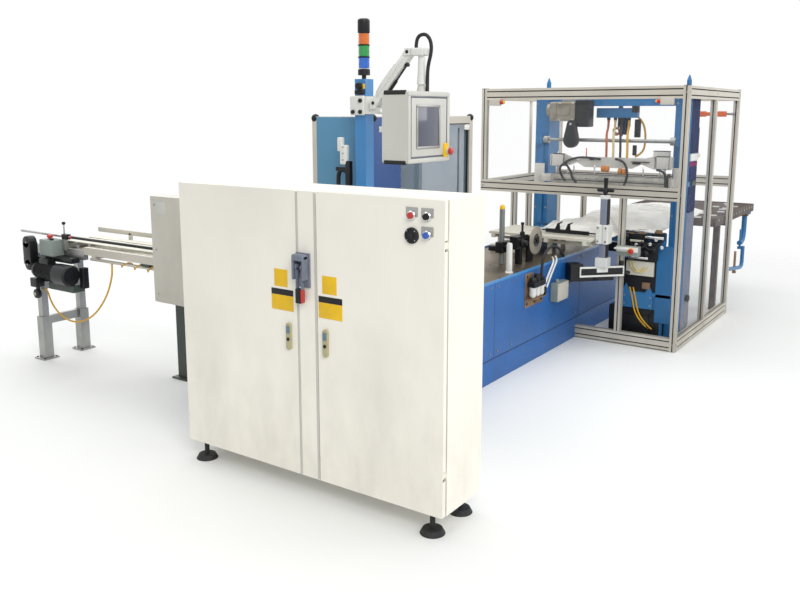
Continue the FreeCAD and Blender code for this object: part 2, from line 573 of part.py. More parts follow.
def guide_unit():
    """The adjustable slotted rail with its clamp column and cross bar, out in front of the bed."""
    turn = Rotation(Vector(0, 0, 1), -45)
    rail_at = ("column_x - slot_rail_length / 2 * cos(45 deg)", "column_y + slot_rail_length / 2 * cos(45 deg)")
    rail = box("slot_rail_body", ("slot_rail_length", "30", "slot_rail_height"), (*rail_at, "slot_rail_z - slot_rail_height"), turn)
    slot = box("slot_rail_slot", ("slot_rail_length - 40", "40", "14"),
               ("column_x - (slot_rail_length / 2 - 20) * cos(45 deg) - 3.5", "column_y + (slot_rail_length / 2 - 20) * cos(45 deg) - 3.5",
                "slot_rail_z - slot_rail_height / 2 - 7"), turn)
    node("side_rail", cut("slot_rail", rail, slot))
    arm = box("guide_arm_bar", ("60", "bed_near - column_y - 30", "30"),
              ("column_x - 30", "column_y + 30", "slot_rail_z - slot_rail_height - 30"))
    pad = box("guide_arm_pad", ("120", "12", "100"), ("column_x - 60", "bed_near - 12", "slot_rail_z - slot_rail_height - 70"))
    node("guide_arm", join("arm_joined", arm, pad))
    half = "column_size / 2"
    column = box("column_body", ("column_size", "column_size", "guide_column_top - slot_rail_z"),
                 (f"column_x - {half}", f"column_y - {half}", "slot_rail_z"))
    shoe = box("column_shoe", ("90", "90", "30"), ("column_x - 45", "column_y - 45", "slot_rail_z"))
    clamp = box("column_clamp", ("96", "96", "120"), ("column_x - 48", "column_y - 48", "790"))
    screw = rod("column_screw", "9", "40", ("column_x", "column_y", "guide_column_top"))
    bar = rod("column_handle", "8", "130", ("column_x", "column_y - 65", "guide_column_top + 48"), "y")
    hub = rod("column_hub", "16", "34", ("column_x", "column_y", "guide_column_top + 32"))
    stem = rod("column_stem", "10", "80", ("column_x", "column_y", "guide_column_top + 60"))
    node("guide_column", join("column_joined", column, shoe, clamp, screw, bar, hub, stem))
    cross = rod("cross_rod", "6", "450", ("column_x", "column_y + 48", "858"), "y")
    holder = box("hook_holder", ("26", "346", "26"), ("column_x - 13", "-577", "845"))
    hooks = []
    for y in (-430, -345):
        hooks.append(slab("hook", "yz", [("0", "0"), ("40", "0"), ("22", "45"), ("-16", "62"), ("-18", "54"), ("4", "40")],
                          "10", ("column_x - 5", f"{y}", "871")))
    node("hook_bar", join("hook_joined", cross, holder, *hooks))


def bed_side_units():
    bracket = slab("regulator_plate", "xz", [("0", "0"), ("270", "0"), ("230", "150"), ("180", "230"), ("0", "230")], "4",
                   ("-200", "bed_near", "366"))
    shelf = box("regulator_shelf", ("260", "60", "4"), ("-195", "bed_near - 64", "430"))
    bowls = [join("bowl", rod("bowl_body", "24", "84", (f"{x}", "bed_near - 38", "434")),
                  rod("bowl_cap", "28", "30", (f"{x}", "bed_near - 38", "518"))) for x in (-130, -60, 10)]
    block = box("valve_block", ("170", "46", "34"), ("-145", "bed_near - 61", "518"))
    node("regulator", join("regulator_joined", bracket, shelf, block, *bowls))
    junction = rounded(slab("junction_pad", "xz", rectangle("260", "160"), "60", ("230", "bed_near", "320")), "8",
                       Vector(0, 1, 0))
    gland = rod("junction_gland", "14", "24", ("330", "bed_near - 30", "480"))
    station = rounded(slab("station_pad", "yz", rectangle("150", "70"), "55", ("frame_x - 55", "mid_post_y - 60", "705")),
                      "6", Vector(1, 0, 0))
    stop = rod("station_stop", "20", "34", ("frame_x - 89", "mid_post_y - 20", "745"), "x")
    node("control_boxes", join("junction_joined", junction, gland), join("station_joined", station, stop))


def guard_housing():
    xs = ("guard_x", "guard_end - guard_profile")
    ys = ("guard_y", "guard_far - guard_profile")
    height = "guard_top - table_z"
    node("guard_posts", *[box("guard_post", ("guard_profile", "guard_profile", height), (x, y, "table_z"))
                          for x in xs for y in ys])
    run = ("guard_length - 2 * guard_profile", "guard_profile", "guard_profile")
    side = ("guard_profile", "guard_depth - 2 * guard_profile", "guard_profile")
    rails = [box("guard_rail", run, ("guard_x + guard_profile", y, z))
             for y in ys for z in ("guard_top - guard_profile", "table_z")]
    rails += [box("guard_tie", side, (x, "guard_y + guard_profile", "guard_top - guard_profile")) for x in xs]
    node("guard_rails", *rails)
    long_size = ("guard_length - 2 * guard_profile", "guard_sheet", f"{height} - 2 * guard_profile")
    low = "table_z + guard_profile"
    panes = [box("guard_pane", long_size, ("guard_x + guard_profile", y, low))
             for y in ("guard_y + guard_profile / 2", "guard_far - guard_profile / 2 - guard_sheet")]
    end = box("guard_end_pane", ("guard_sheet", "guard_depth - 2 * guard_profile", f"{height} - guard_profile"),
              ("guard_x + guard_profile / 2", "guard_y + guard_profile", "table_z"))
    roof = box("guard_roof", ("guard_length", "guard_depth", "guard_sheet"), ("guard_x", "guard_y", "guard_top"))
    node("guard_panels", *panes, end, roof)
    # The white transfer unit with its black gripper, beside the post
    mast = box("transfer_mast", ("26", "26", "1440 - table_z"), ("-1990", "-120", "table_z"))
    grip = slab("transfer_grip", "yz", [("0", "0"), ("60", "0"), ("90", "60"), ("70", "150"), ("20", "150"), ("-20", "80")],
                "30", ("-1992", "-150", "1340"))
    head = box("transfer_head", ("34", "60", "130"), ("-1994", "-140", "1490"))
    node("transfer_unit", join("transfer_joined", mast, grip, head))


def operator_post():
    node("operator_post", box("post_body", ("post_size", "post_size", "post_top - table_z"), ("post_x", "post_y", "table_z")))
    at = ("post_middle_x", "post_middle_y")
    first = "post_top + 20 + tower_base"
    pieces = [rod("tower_stem", "12", "20", (*at, "post_top")),
              rod("tower_base_body", "tower_radius", "tower_base", (*at, "post_top + 20"))]
    for index in range(3):
        pieces.append(rod("tower_lens", "tower_radius - 2", "tower_pitch", (*at, f"{first} + {index} * tower_pitch")))
    pieces.append(rod("tower_cap_body", "tower_radius", "tower_cap", (*at, f"{first} + 3 * tower_pitch")))
    node("signal_tower", join("tower_joined", *pieces))


def ears(name, y, z, bridge):
    """Two cheeks beside the beam, joined by their pin and a bridge block."""
    span = "2 * (ear_gap + ear_thickness)"
    left = "arm_x - (ear_gap) - ear_thickness"
    cheeks = [box(f"{name}_ear", ("ear_thickness", "2 * ear_half", "2 * ear_half"), (x, f"{y} - ear_half", f"{z} - ear_half"))
              for x in (left, "arm_x + (ear_gap)")]
    pin = rod(f"{name}_pin", "arm_pin", span, (left, y, z), "x")
    block = box(f"{name}_bridge", (span, bridge[0], bridge[1]), (left, bridge[2], bridge[3]))
    return [*cheeks, pin, block]


def spring_arm():
    collar = cut("collar", box("collar_outer", ("post_size + 2 * clamp_wall", "post_size + 2 * clamp_wall", "clamp_height"),
                               ("post_x - clamp_wall", "clamp_front", "clamp_base")),
                 box("collar_hole", ("post_size", "post_size", "clamp_height + 2"), ("post_x", "post_y", "clamp_base - 1")))
    lug = box("arm_lug", ("50", "clamp_front - arm_y + 25", "12"), ("arm_x - 25", "arm_y - 25", "clamp_base"))
    pin = rod("arm_pin_body", "turret_pin", "26", ("arm_x", "arm_y", "clamp_base"))
    node("arm_clamp", join("clamp_joined", collar, lug, pin))
    low = "clamp_base + 12 + running_clearance"
    turret = join("turret_joined", rod("turret_body", "turret_radius", "20", ("arm_x", "arm_y", low)),
                  *ears("turret", "arm_y", "arm_z", ("2 * ear_half", f"arm_z - 22 - ({low}) - 15", "arm_y - ear_half", f"{low} + 15")),
                  *[box("turret_cheek", ("ear_thickness", "2 * ear_half", "14"), (x, "arm_y - ear_half", "arm_z - 30"))
                    for x in ("arm_x - (ear_gap) - ear_thickness", "arm_x + (ear_gap)")])
    node("arm_turret", cut("turret_cut", turret, rod("turret_bore", "turret_pin + running_gap", "14.8", ("arm_x", "arm_y", low))))
    reach = "sqrt(arm_run ^ 2 + arm_rise ^ 2)"
    parts = [box("beam_bar", ("arm_width", reach, "arm_height"), ("-arm_width / 2", "0", "-arm_height / 2"))]
    bores = []
    for y in ("0", reach):
        parts.append(rod("beam_end", "arm_height / 2", "arm_width", ("-arm_width / 2", y, "0"), "x"))
        bores.append(rod("beam_bore", "arm_pin + running_gap", "arm_width + 2", ("-arm_width / 2 - 1", y, "0"), "x"))
    groove = box("beam_groove", ("arm_width - 20", f"{reach} - 110", "16"), ("-arm_width / 2 + 10", "55", "-arm_height / 2 - 1"))
    beam = cut("beam", join("beam_joined", *parts), *bores, groove)
    place(beam, ("arm_x", "arm_y", "arm_z"), Rotation(Vector(1, 0, 0), 90))
    beam.setExpression("Placement.Rotation.Angle", formula("180 deg - atan(arm_rise / arm_run)"))
    node("spring_arm", beam)
    drop = rod("elbow_drop", "16", "elbow_z - panel_top - socket_height - running_clearance",
               ("arm_x", "head_y", "panel_top + socket_height + running_clearance"))
    spigot = rod("elbow_spigot", "spigot_radius", "socket_height", ("arm_x", "head_y", "panel_top + 4 + running_clearance"))
    node("arm_elbow", join("elbow_joined", drop, spigot,
                           *ears("elbow", "elbow_y", "elbow_z", ("elbow_run - 6", "2 * ear_half", "head_y - 17", "elbow_z - ear_half"))))


def operator_panel():
    case = rounded(slab("panel_pad", "xz", rectangle("panel_width", "panel_height"), "panel_depth",
                        ("panel_left", "panel_front + panel_depth", "panel_base")), "panel_round", Vector(0, 1, 0))
    recess = box("panel_window", ("panel_width - 2 * panel_frame", "panel_recess", "panel_height - 2 * panel_frame"),
                 ("panel_left + panel_frame", "panel_front", "panel_base + panel_frame"))
    socket = cone("panel_socket_body", "25", "20", "socket_height", ("arm_x", "head_y", "panel_top"))
    bore = rod("panel_bore", "spigot_radius + running_gap", "socket_height", ("arm_x", "head_y", "panel_top + 4"))
    stop = rod("panel_stop", "17", "34", ("panel_left + panel_width - 40", "panel_front - 28", "panel_base + 52"), "y")
    node("panel_box", cut("panel_cut", join("panel_joined", cut("panel_case", case, recess), socket, stop), bore))
    x = "arm_x"
    route = [(x, "head_y + 33", "elbow_z + ear_half"), (x, "head_y + 33", "elbow_z + 50"), (x, "head_y + 16", "elbow_z + 80"),
             (x, "head_y - 26", "elbow_z + 84"), (x, "head_y - 54", "elbow_z + 50"), (x, "head_y - 58", "elbow_z - 2"),
             (x, "head_y - 38", "elbow_z - 70"), (x, "head_y - 34.5", "elbow_z - 116"), (x, "head_y - 34.5", "panel_top")]
    node("panel_conduit", tube("conduit_tube", 9, route))


def profile(name, axis, length, at, tall=True):
    """One extrusion of the enclosure, narrow across and wide upwards where it lies flat."""
    narrow, wide = "profile_narrow", "profile_wide"
    slot, deep = "profile_slot", "profile_slot_depth"
    x, y, z = at
    if axis == "z":
        bar = box(name, (narrow, narrow, length), at)
        grooves = [box(name + "_slot", (slot, deep, length), (f"{x} + ({narrow} - {slot}) / 2", e, z))
                   for e in (y, f"{y} + {narrow} - {deep}")]
        grooves += [box(name + "_slot", (deep, slot, length), (e, f"{y} + ({narrow} - {slot}) / 2", z))
                    for e in (x, f"{x} + {narrow} - {deep}")]
        return cut(name + "_cut", bar, join(name + "_slots", *grooves))
    heights = [f"{z} + {narrow} / 2 - {slot} / 2 + {i} * {narrow}" for i in (0, 1)]
    if axis == "x":
        bar = box(name, (length, narrow, wide), at)
        grooves = [box(name + "_slot", (length, deep, slot), (x, e, height))
                   for e in (y, f"{y} + {narrow} - {deep}") for height in heights]
        grooves += [box(name + "_slot", (length, slot, deep), (x, f"{y} + ({narrow} - {slot}) / 2", e))
                    for e in (z, f"{z} + {wide} - {deep}")]
    else:
        bar = box(name, (narrow, length, wide), at)
        grooves = [box(name + "_slot", (deep, length, slot), (e, y, height))
                   for e in (x, f"{x} + {narrow} - {deep}") for height in heights]
        grooves += [box(name + "_slot", (slot, length, deep), (f"{x} + ({narrow} - {slot}) / 2", y, e))
                    for e in (z, f"{z} + {wide} - {deep}")]
    return cut(name + "_cut", bar, join(name + "_slots", *grooves))


def enclosure():
    near, far = "(frame_y)", "(frame_far - profile_narrow)"
    front, back = "(frame_x)", "(frame_end - profile_narrow)"
    upper = "frame_top - frame_mid - profile_wide"
    node("frame_posts", profile("post_a", "z", "frame_top", (front, near, "0")),
         profile("post_b", "z", "frame_top", (back, near, "0")),
         profile("post_c", "z", "frame_top", (back, far, "0")),
         profile("post_d", "z", upper, (front, far, "(frame_mid + profile_wide)")))
    top, mid, low = "(frame_top - profile_wide)", "(frame_mid)", "(frame_low)"
    inner = "frame_length - 2 * profile_narrow"
    node("frame_long_rails", *[profile("long_rail", "x", inner, ("(frame_x + profile_narrow)", y, z))
                               for y, z in ((near, top), (near, low), (far, top), (far, mid), (far, low))])
    across = "frame_width - 2 * profile_narrow"
    start = "(frame_y + profile_narrow)"
    node("frame_cross_rails", *[profile("cross_rail", "y", across, (x, start, z))
                                for x, z in ((front, top), (back, top), (back, mid))],
         profile("front_mid_rail", "y", "frame_width - profile_narrow", (front, start, mid)),
         profile("front_low_rail", "y", "bed_near + bed_skirt_inset - frame_y - profile_narrow", (front, start, low)))
    lower = "frame_mid - frame_low - profile_wide"
    full = "frame_top - frame_low - 2 * profile_wide"
    foot = "(frame_low + profile_wide)"
    node("frame_mid_posts", profile("front_mid_post", "z", lower, (front, "mid_post_y", foot)),
         profile("side_mid_post", "z", full, ("side_post_x", near, foot)),
         profile("far_mid_post", "z", lower, ("side_post_x", far, foot)))
    pane_y = "frame_y + profile_narrow / 2"
    node("frame_panels",
         box("side_pane_front", ("side_post_x - frame_x - profile_narrow", "frame_pane", full),
             ("frame_x + profile_narrow", pane_y, foot)),
         box("side_pane_back", ("frame_end - side_post_x - 2 * profile_narrow", "frame_pane", full),
             ("side_post_x + profile_narrow", pane_y, foot)),
         box("front_pane", ("frame_pane", across, "frame_top - frame_mid - 2 * profile_wide"),
             ("frame_x + profile_narrow / 2", start, "frame_mid + profile_wide")))
    blocks = []
    for y in ("frame_far - 180", "frame_y + 120"):
        blocks.append(box("switch_block", ("40", "110", "44"), ("frame_x - 40", y, "frame_top - profile_wide - 40")))
    node("frame_switches", *blocks)


def portal():
    pieces = [box("right_column", ("portal_depth", "column_width", "portal_top"), ("portal_x", "portal_right", "0")),
              box("left_column_body", ("portal_depth", "column_width", "portal_top - (table_z)"), ("portal_x", "left_column", "table_z")),
              box("beam_body", ("beam_depth", "portal_opening", "beam_height"),
                  ("portal_middle - beam_depth / 2", "right_inner", "portal_top - beam_height"))]
    for y in ("portal_right + column_width / 2", "left_column + column_width / 2"):
        pieces.append(rod("tip_stem", "tip_radius", "tip_top - portal_top - tip_cone", ("portal_middle", y, "portal_top")))
        pieces.append(cone("tip_point", "tip_radius", "3", "tip_cone", ("portal_middle", y, "tip_top - tip_cone")))
        pieces.append(box("slide_rail_bar", ("slide_rail", "slide_width", "slide_top - slide_base"),
                          ("slide_front", f"{y} - slide_width / 2", "slide_base")))
        pieces.append(box("shaft_bearing", ("60", "60", "70"), ("portal_x - 60", f"{y} - 30", "shaft_z - 35")))
    pieces.append(box("hose_bracket", ("60", "240", "60"), ("portal_middle - 30", "right_inner + 330", "portal_top - beam_height - 90")))
    pieces.append(box("hose_bracket_stay", ("20", "30", "40"), ("portal_middle - 10", "right_inner + 440", "portal_top - beam_height - 35")))
    bearing_bores = [rod("bearing_bore", "shaft_radius + running_gap", "62", ("portal_x - 30", f"{y} - 31", "shaft_z"), "y")
                     for y in ("portal_right + column_width / 2", "left_column + column_width / 2")]
    node("portal_frame", cut("portal_cut", join("portal_joined", *pieces), *bearing_bores))
    first = "portal_right + column_width / 2 - 34"
    shaft = rod("shaft_body", "shaft_radius", "portal_opening + column_width + 68", ("portal_x - 30", first, "shaft_z"), "y")
    collars = [rod("shaft_collar", "shaft_radius + 10", "3.7", ("portal_x - 30", y, "shaft_z"), "y")
               for y in (first, "left_column + column_width / 2 + 30.3")]
    pulleys = [rod("shaft_pulley", "30", "40", ("portal_x - 30", y, "shaft_z"), "y")
               for y in ("portal_right + column_width / 2 + 34", "left_column + column_width / 2 - 74")]
    node("line_shaft", join("shaft_joined", shaft, *collars, *pulleys))
    gear = box("gear_case", ("130", "140", "155"), ("portal_middle - beam_depth / 2 - 130", "left_column - 175", "1700"))
    nose = cone("gear_nose", "62", "50", "34.7", ("portal_middle - beam_depth / 2 - 65", "left_column - 35", "1775"), "y")
    motor = rod("motor_case", "72", "190", ("portal_middle - beam_depth / 2 - 80", "left_column - 365", "1735"), "y")
    node("portal_drive", join("portal_drive_joined", gear, nose, motor))
    guard = [rod("belt_guard_low", "62", "50", ("portal_x - 140", "left_column - 150", "1538"), "x"),
             rod("belt_guard_high", "42", "50", ("portal_x - 140", "left_column - 130", "1720"), "x"),
             slab("belt_guard_web", "yz", [("-212", "1550"), ("-88", "1550"), ("-88", "1720"), ("-160", "1720")], "50",
                  ("portal_x - 140", "left_column", "0"))]
    node("portal_belt_guard", cut("belt_guard", join("belt_guard_joined", *guard),
                                  box("belt_guard_relief", ("30", "140", "130"), ("portal_x - 112", "left_column - 222", "1468"))))


def sealing_head():
    """The lifting head: bow-tie yoke, end blocks on carriages, heated bar and its guide rods."""
    x = "head_x - head_depth"
    low, high = "(portal_right + column_width / 2)", "(left_column + column_width / 2)"
    pieces = []
    for y in (low, high):
        pieces.append(box("carriage", ("carriage_depth", "slide_width + 40", "carriage_height"),
                          ("head_x", f"{y} - slide_width / 2 - 20", "bar_base")))
        for side in ("- slide_width / 2 - 20", "+ slide_width / 2 + running_clearance"):
            pieces.append(box("carriage_cheek", ("slide_rail - 4", "20 - running_clearance", "carriage_height"),
                              ("head_x + carriage_depth", f"{y} {side}", "bar_base")))
    span = f"({high} - {low})"
    yoke = [("0", "0"), ("130", "0"), ("250", "yoke_waist - 20"), (f"{span} / 2 - 230", "0"), (f"{span} / 2 + 230", "0"),
            (f"{span} - 250", "yoke_waist - 20"), (f"{span} - 150", "0"), (span, "0"), (span, "head_top - yoke_base"),
            (f"{span} - 130", "head_top - yoke_base"), (f"{span} - 250", "yoke_waist"), (f"{span} / 2 + 200", "yoke_waist + 26"),
            (f"{span} / 2 - 200", "yoke_waist + 26"), ("250", "yoke_waist"), ("150", "head_top - yoke_base"),
            ("0", "head_top - yoke_base")]
    pieces.append(slab("yoke_plate", "yz", yoke, "yoke_thickness", (f"{x} + 22", low, "yoke_base")))
    for y in (f"{low} - 10", f"{high} - 100"):
        pieces.append(box("end_block", ("head_depth", "110", "head_top - yoke_base - 10"), (x, y, "yoke_base + 5")))
        pieces.append(rod("guide_rod", "9", "yoke_base - bar_base", (f"{x} + 30", f"{y} + 55", "bar_base + 20")))
    pieces.append(box("valve_box", ("50", "150", "44"), (f"{x} + 5", f"{low} + 60", "head_top - 6")))
    bar = slab("heat_bar", "xz", [("4", "0"), ("36", "0"), ("60", "24"), ("60", "bar_height"), ("0", "bar_height"), ("0", "24")],
               span, (x, high, "bar_base"))
    pieces.append(bar)
    node("sealing_head", join("head_joined", *pieces))
    hoses = []
    for index in range(4):
        y = f"right_inner + 385 + {index} * 55"
        hoses.append(tube("head_hose", 9, [
            ("portal_middle", y, "portal_top - beam_height - 90"), ("portal_middle", y, "portal_top - beam_height - 136"),
            ("portal_middle - 60", f"{y} - 20", "1625"), ("portal_x - 50", f"{y} - 45", "1600"),
            (f"{x} + 22", f"{y} - 60", "1540"), (f"{x} + 30", f"{y} - 60", "1480"),
            (f"{x} + 30", f"{y} - 60", "yoke_base + yoke_waist + 26")]))
    node("head_hoses", *hoses)


def lower_jaw():
    width = "left_column - (right_inner)"
    bar = box("jaw_bar", ("70", width, "jaw_height"), ("portal_x - 110", "right_inner", "jaw_top - jaw_height"))
    leg = box("jaw_leg_body", ("60", "jaw_leg", "jaw_top - jaw_height"), ("portal_x - 105", "right_inner", "0"))
    left = box("jaw_left_leg", ("60", "60", "jaw_top - jaw_height - (table_z)"), ("portal_x - 105", "left_column - 120", "table_z"))
    hanger = box("jaw_hanger", ("105", "jaw_leg", "40"), ("portal_x - 105", "right_inner - 20", "500"))
    cross = slab("cross_plate", "yz", [("0", "0"), ("240", "0"), ("240", "120"), ("210", "190"), ("180", "120"), ("60", "120"), ("30", "190"), ("0", "120")],
                 "12", ("portal_x - 117", "right_inner + 62", "262"))
    node("lower_jaw", join("lower_jaw_joined", bar, leg, left, hanger, cross))


def exit_table():
    length = "exit_end - exit_start"
    base = "exit_top - exit_thickness"
    pieces = [box("exit_side", (length, "exit_wall", "exit_thickness"), ("exit_start", y, base))
              for y in ("exit_near", "exit_far - exit_wall")]
    pieces += [box("exit_end_plate", ("exit_wall", "exit_width - 2 * exit_wall", "exit_thickness"), (x, "exit_near + exit_wall", base))
               for x in ("exit_start", "exit_end - exit_wall")]
    count = int(SIZES["exit_length"] // SIZES["exit_pitch"])
    for index in range(count):
        pieces.append(rod("exit_roller_bar", "exit_roller", "exit_width - 2 * exit_wall",
                          (f"exit_start + (1 + {index}) * ({length}) / ({count} + 1)", "exit_near + exit_wall", "exit_top - exit_roller"), "y"))
    for x in ("exit_start + 380", "exit_end - 260"):
        pieces.append(box("exit_cross", ("60", "exit_width", "30"), (x, "exit_near", f"{base} - 30")))
    pieces.append(box("exit_stay", ("profile_narrow", "exit_near - frame_y - profile_narrow", "exit_thickness"),
                      ("frame_end - profile_narrow", "frame_y + profile_narrow", base)))
    for y in ("exit_near + 60", "exit_far - 110"):
        pieces.append(box("exit_leg", ("50", "50", f"{base} - 30"), ("exit_start + 385", y, "0")))
    node("exit_table", *pieces)
    x, y = "exit_end - 130", "exit_near + 50"
    route = [(x, y, f"{base}"), (x, y, f"{base} - 190"), (f"{x} - 18", y, f"{base} - 262"),
             (f"{x} - 80", y, f"{base} - 290"), (f"{x} - 150", y, f"{base} - 290")]
    bend = tube("bracket_tube", SIZES["bracket_radius"], route)
    pin = rod("bracket_pin", "9", "170", (f"{x} - 128", y, f"{base} - 330"))
    knob = rod("bracket_knob", "22", "24", (f"{x} - 128", y, f"{base} - 350"))
    foot = box("bracket_foot", ("60", "80", "20"), (f"{x} - 30", "exit_near", f"{base} - 20"))
    node("exit_bracket", join("exit_bracket_joined", bend, pin, knob, foot))


cabinet()
door("door_right", "cabinet_side", "pillar_low - door_gap", True, "pillar_low - latch_edge - latch_width")
door("door_left", "pillar_high + door_gap", "cabinet_far", False, "pillar_high + latch_edge")
main_switch()
cabinet_controls()
side_box()
infeed_frame()
infeed_guides()
infeed_stand()
infeed_drive()
infeed_cable()
bed()
bed_fittings()
guide_unit()
bed_side_units()
guard_housing()
operator_post()
spring_arm()
operator_panel()
enclosure()
portal()
sealing_head()
lower_jaw()
exit_table()

doc.recompute()
failed = [item.Label for item in doc.Objects if {"Invalid", "Error"} & set(item.State)]
if failed:
    raise RuntimeError("failed objects: " + ", ".join(failed))
os.makedirs("parts", exist_ok=True)
for item in nodes:
    shape = item.Shape
    if shape.isNull() or not shape.isValid():
        raise RuntimeError("bad shape: " + item.Label)
    shape.exportStep(os.path.join("parts", item.Label + ".step"))
print(len(nodes), "nodes written")
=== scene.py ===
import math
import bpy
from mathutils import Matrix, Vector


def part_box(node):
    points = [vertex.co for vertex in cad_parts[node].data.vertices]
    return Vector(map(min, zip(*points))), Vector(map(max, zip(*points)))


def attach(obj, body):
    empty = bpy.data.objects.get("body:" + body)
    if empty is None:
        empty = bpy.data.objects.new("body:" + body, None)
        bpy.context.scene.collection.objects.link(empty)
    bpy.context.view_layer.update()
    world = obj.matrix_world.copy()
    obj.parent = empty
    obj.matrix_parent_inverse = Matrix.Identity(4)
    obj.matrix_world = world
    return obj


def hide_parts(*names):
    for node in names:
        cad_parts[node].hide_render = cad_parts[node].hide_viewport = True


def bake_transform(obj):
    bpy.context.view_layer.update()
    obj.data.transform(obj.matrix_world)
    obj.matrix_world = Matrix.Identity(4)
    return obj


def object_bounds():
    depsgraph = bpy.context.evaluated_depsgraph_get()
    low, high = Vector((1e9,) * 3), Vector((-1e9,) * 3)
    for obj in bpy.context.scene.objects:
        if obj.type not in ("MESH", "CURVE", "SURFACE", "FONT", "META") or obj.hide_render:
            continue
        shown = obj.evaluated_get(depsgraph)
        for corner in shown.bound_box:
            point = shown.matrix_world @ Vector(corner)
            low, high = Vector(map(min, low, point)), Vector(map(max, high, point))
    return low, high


bl_info = {
    "name": "Stack packing machine",
    "version": (1, 0, 0),
    "blender": (4, 5, 0),
    "location": "View3D > Sidebar > Packing Line",
    "description": "Dresses the packed frame of a stack packing machine",
    "category": "Object",
}

import bmesh
import bpy
from bpy.props import FloatProperty, FloatVectorProperty, PointerProperty
from mathutils import Matrix, Vector, noise

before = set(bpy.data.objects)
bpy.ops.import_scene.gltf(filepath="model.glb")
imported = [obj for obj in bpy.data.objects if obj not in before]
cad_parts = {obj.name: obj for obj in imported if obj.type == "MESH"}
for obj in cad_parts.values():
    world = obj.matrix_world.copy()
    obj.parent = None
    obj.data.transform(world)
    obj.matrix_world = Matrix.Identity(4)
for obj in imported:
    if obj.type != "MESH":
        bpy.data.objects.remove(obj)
CAD_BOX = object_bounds()

# The bed as the photograph shows it: its near side, far side, rim and table.
BED_NEAR, BED_FAR, BED_TOP, TABLE = -0.44, 0.304, 0.684, 0.674
BED_END, BED_SKIRT = 2.0, 0.165

# The photograph's frame and its camera, solved against the machine.
PHOTO_WIDTH, PHOTO_HEIGHT = 800, 600
FOCAL_PIXELS = 827.6
HORIZON_SHIFT_PIXELS = 43.8
EYE = Vector((-5.5, -2.9, 1.75))
LOOK = Vector((0.8113, 0.5591, -0.1707))
SENSOR = 36.0

# The soft lights: name, place, watts and width.
LIGHT_AIM = Vector((-0.5, 0, 0.8))
LIGHTS = (("key", (-7.5, -7.0, 6.5), 520, 5.0), ("fill", (5.0, -8.5, 5.0), 260, 6.0),
    ("back", (1.0, 7.5, 6.0), 240, 6.0), ("top", (-0.5, 0.5, 7.5), 260, 7.0))

# The pale floor fades out between two distances from the middle.
FLOOR_SIZE, FLOOR_FADE = 40, (3.2, 6.5)

# Faces that meet at more than this angle, in radians, keep a sharp edge.
SMOOTH_ANGLE = 0.6


def linear(code):
    """A colour as it reads on screen, made linear."""
    parts = [int(code[i:i + 2], 16) / 255 for i in (1, 3, 5)]
    return tuple(c / 12.92 if c <= 0.04045 else ((c + 0.055) / 1.055) ** 2.4 for c in parts)


def colour(name, description, code):
    return FloatVectorProperty(name=name, description=description, default=linear(code), subtype="COLOR",
        size=3, min=0.0, max=1.0)


def length(name, description, metres):
    return FloatProperty(name=name, description=description, default=metres, unit="LENGTH", min=0.0)


class LineColours(bpy.types.PropertyGroup):
    cabinet: colour("Cabinet", "Cream powder coat of the control cabinet", "#FAF5E8")
    side_box: colour("Side box", "Warm grey enamel of the box on the infeed", "#CEC9BD")
    bed: colour("Bed", "Worn blue paint of the bed", "#1D60A6")
    portal: colour("Portal", "Blue paint of the portal and the lower jaw", "#2E76AE")
    post: colour("Post", "Bright blue gloss of the operator post", "#3584C2")
    aluminium: colour("Profile", "Clear anodised aluminium profile", "#CFC9BC")
    steel: colour("Steel", "Bare ground steel", "#A9A9A6")
    stainless: colour("Table", "Stained stainless table of the bed", "#7C7060")
    rust: colour("Exit table", "Rusted brown paint of the exit table", "#5F5450")
    belt: colour("Belt", "Cream conveyor belt", "#F0ECDE")
    green: colour("Green", "Dark green enamel of the rear leg", "#35433D")
    machine_grey: colour("Boxes", "Grey green enamel of the small boxes", "#8C9690")
    white: colour("White enamel", "White covers of the arm", "#E6E6E0")
    panel: colour("Panel", "Light grey frame of the operator panel", "#CFCEC6")
    screen: colour("Screen", "Slate face of the screen", "#494D5E")
    black: colour("Black", "Black plastic and enamel", "#121316")
    red: colour("Red", "Red of the stop buttons", "#C22A20")
    orange: colour("Orange", "Orange lamp cap", "#E2601E")
    yellow: colour("Yellow", "Yellow of plates, rings and leads", "#F3C30C")
    blue_button: colour("Blue", "Blue of the push button", "#2457B8")
    tint_front: colour("Tint, operator side", "Dark tinted sheet facing the operator", "#5A7488")
    tint_end: colour("Tint, infeed end", "Light blue sheet facing the infeed", "#5492B6")
    film: colour("Film", "White stretch film", "#F4F1E8")


class LineSizes(bpy.types.PropertyGroup):
    cable_diameter: length("Infeed lead", "Diameter of the yellow lead under the infeed", 0.012)
    conduit_diameter: length("Panel conduit", "Diameter of the conduit into the panel", 0.018)
    hose_diameter: length("Head hoses", "Diameter of the hoses to the sealing head", 0.018)
    seam: length("Seam", "Width of a rubber seam", 0.004)
    screw_radius: length("Screw head", "Radius of a cover screw's head", 0.007)
    edge: length("Edge", "Radius left on small cast and moulded edges", 0.003)


def colours():
    return bpy.context.scene.line_colours


def sizes():
    return bpy.context.scene.line_sizes


# Shader node groups

def tree_of(name, inputs, outputs):
    """An empty shader group with named sockets."""
    tree = bpy.data.node_groups.new(name, "ShaderNodeTree")
    for label, kind, default in inputs:
        socket = tree.interface.new_socket(label, in_out="INPUT", socket_type=kind)
        socket.default_value = default
    for label, kind in outputs:
        tree.interface.new_socket(label, in_out="OUTPUT", socket_type=kind)
    return tree, tree.nodes.new("NodeGroupInput"), tree.nodes.new("NodeGroupOutput")


def add(tree, kind, values=None, **props):
    """A node with its properties and plain socket values set."""
    item = tree.nodes.new(kind)
    for prop, setting in props.items():
        setattr(item, prop, setting)
    for socket, setting in (values or {}).items():
        item.inputs[socket].default_value = setting
    return item


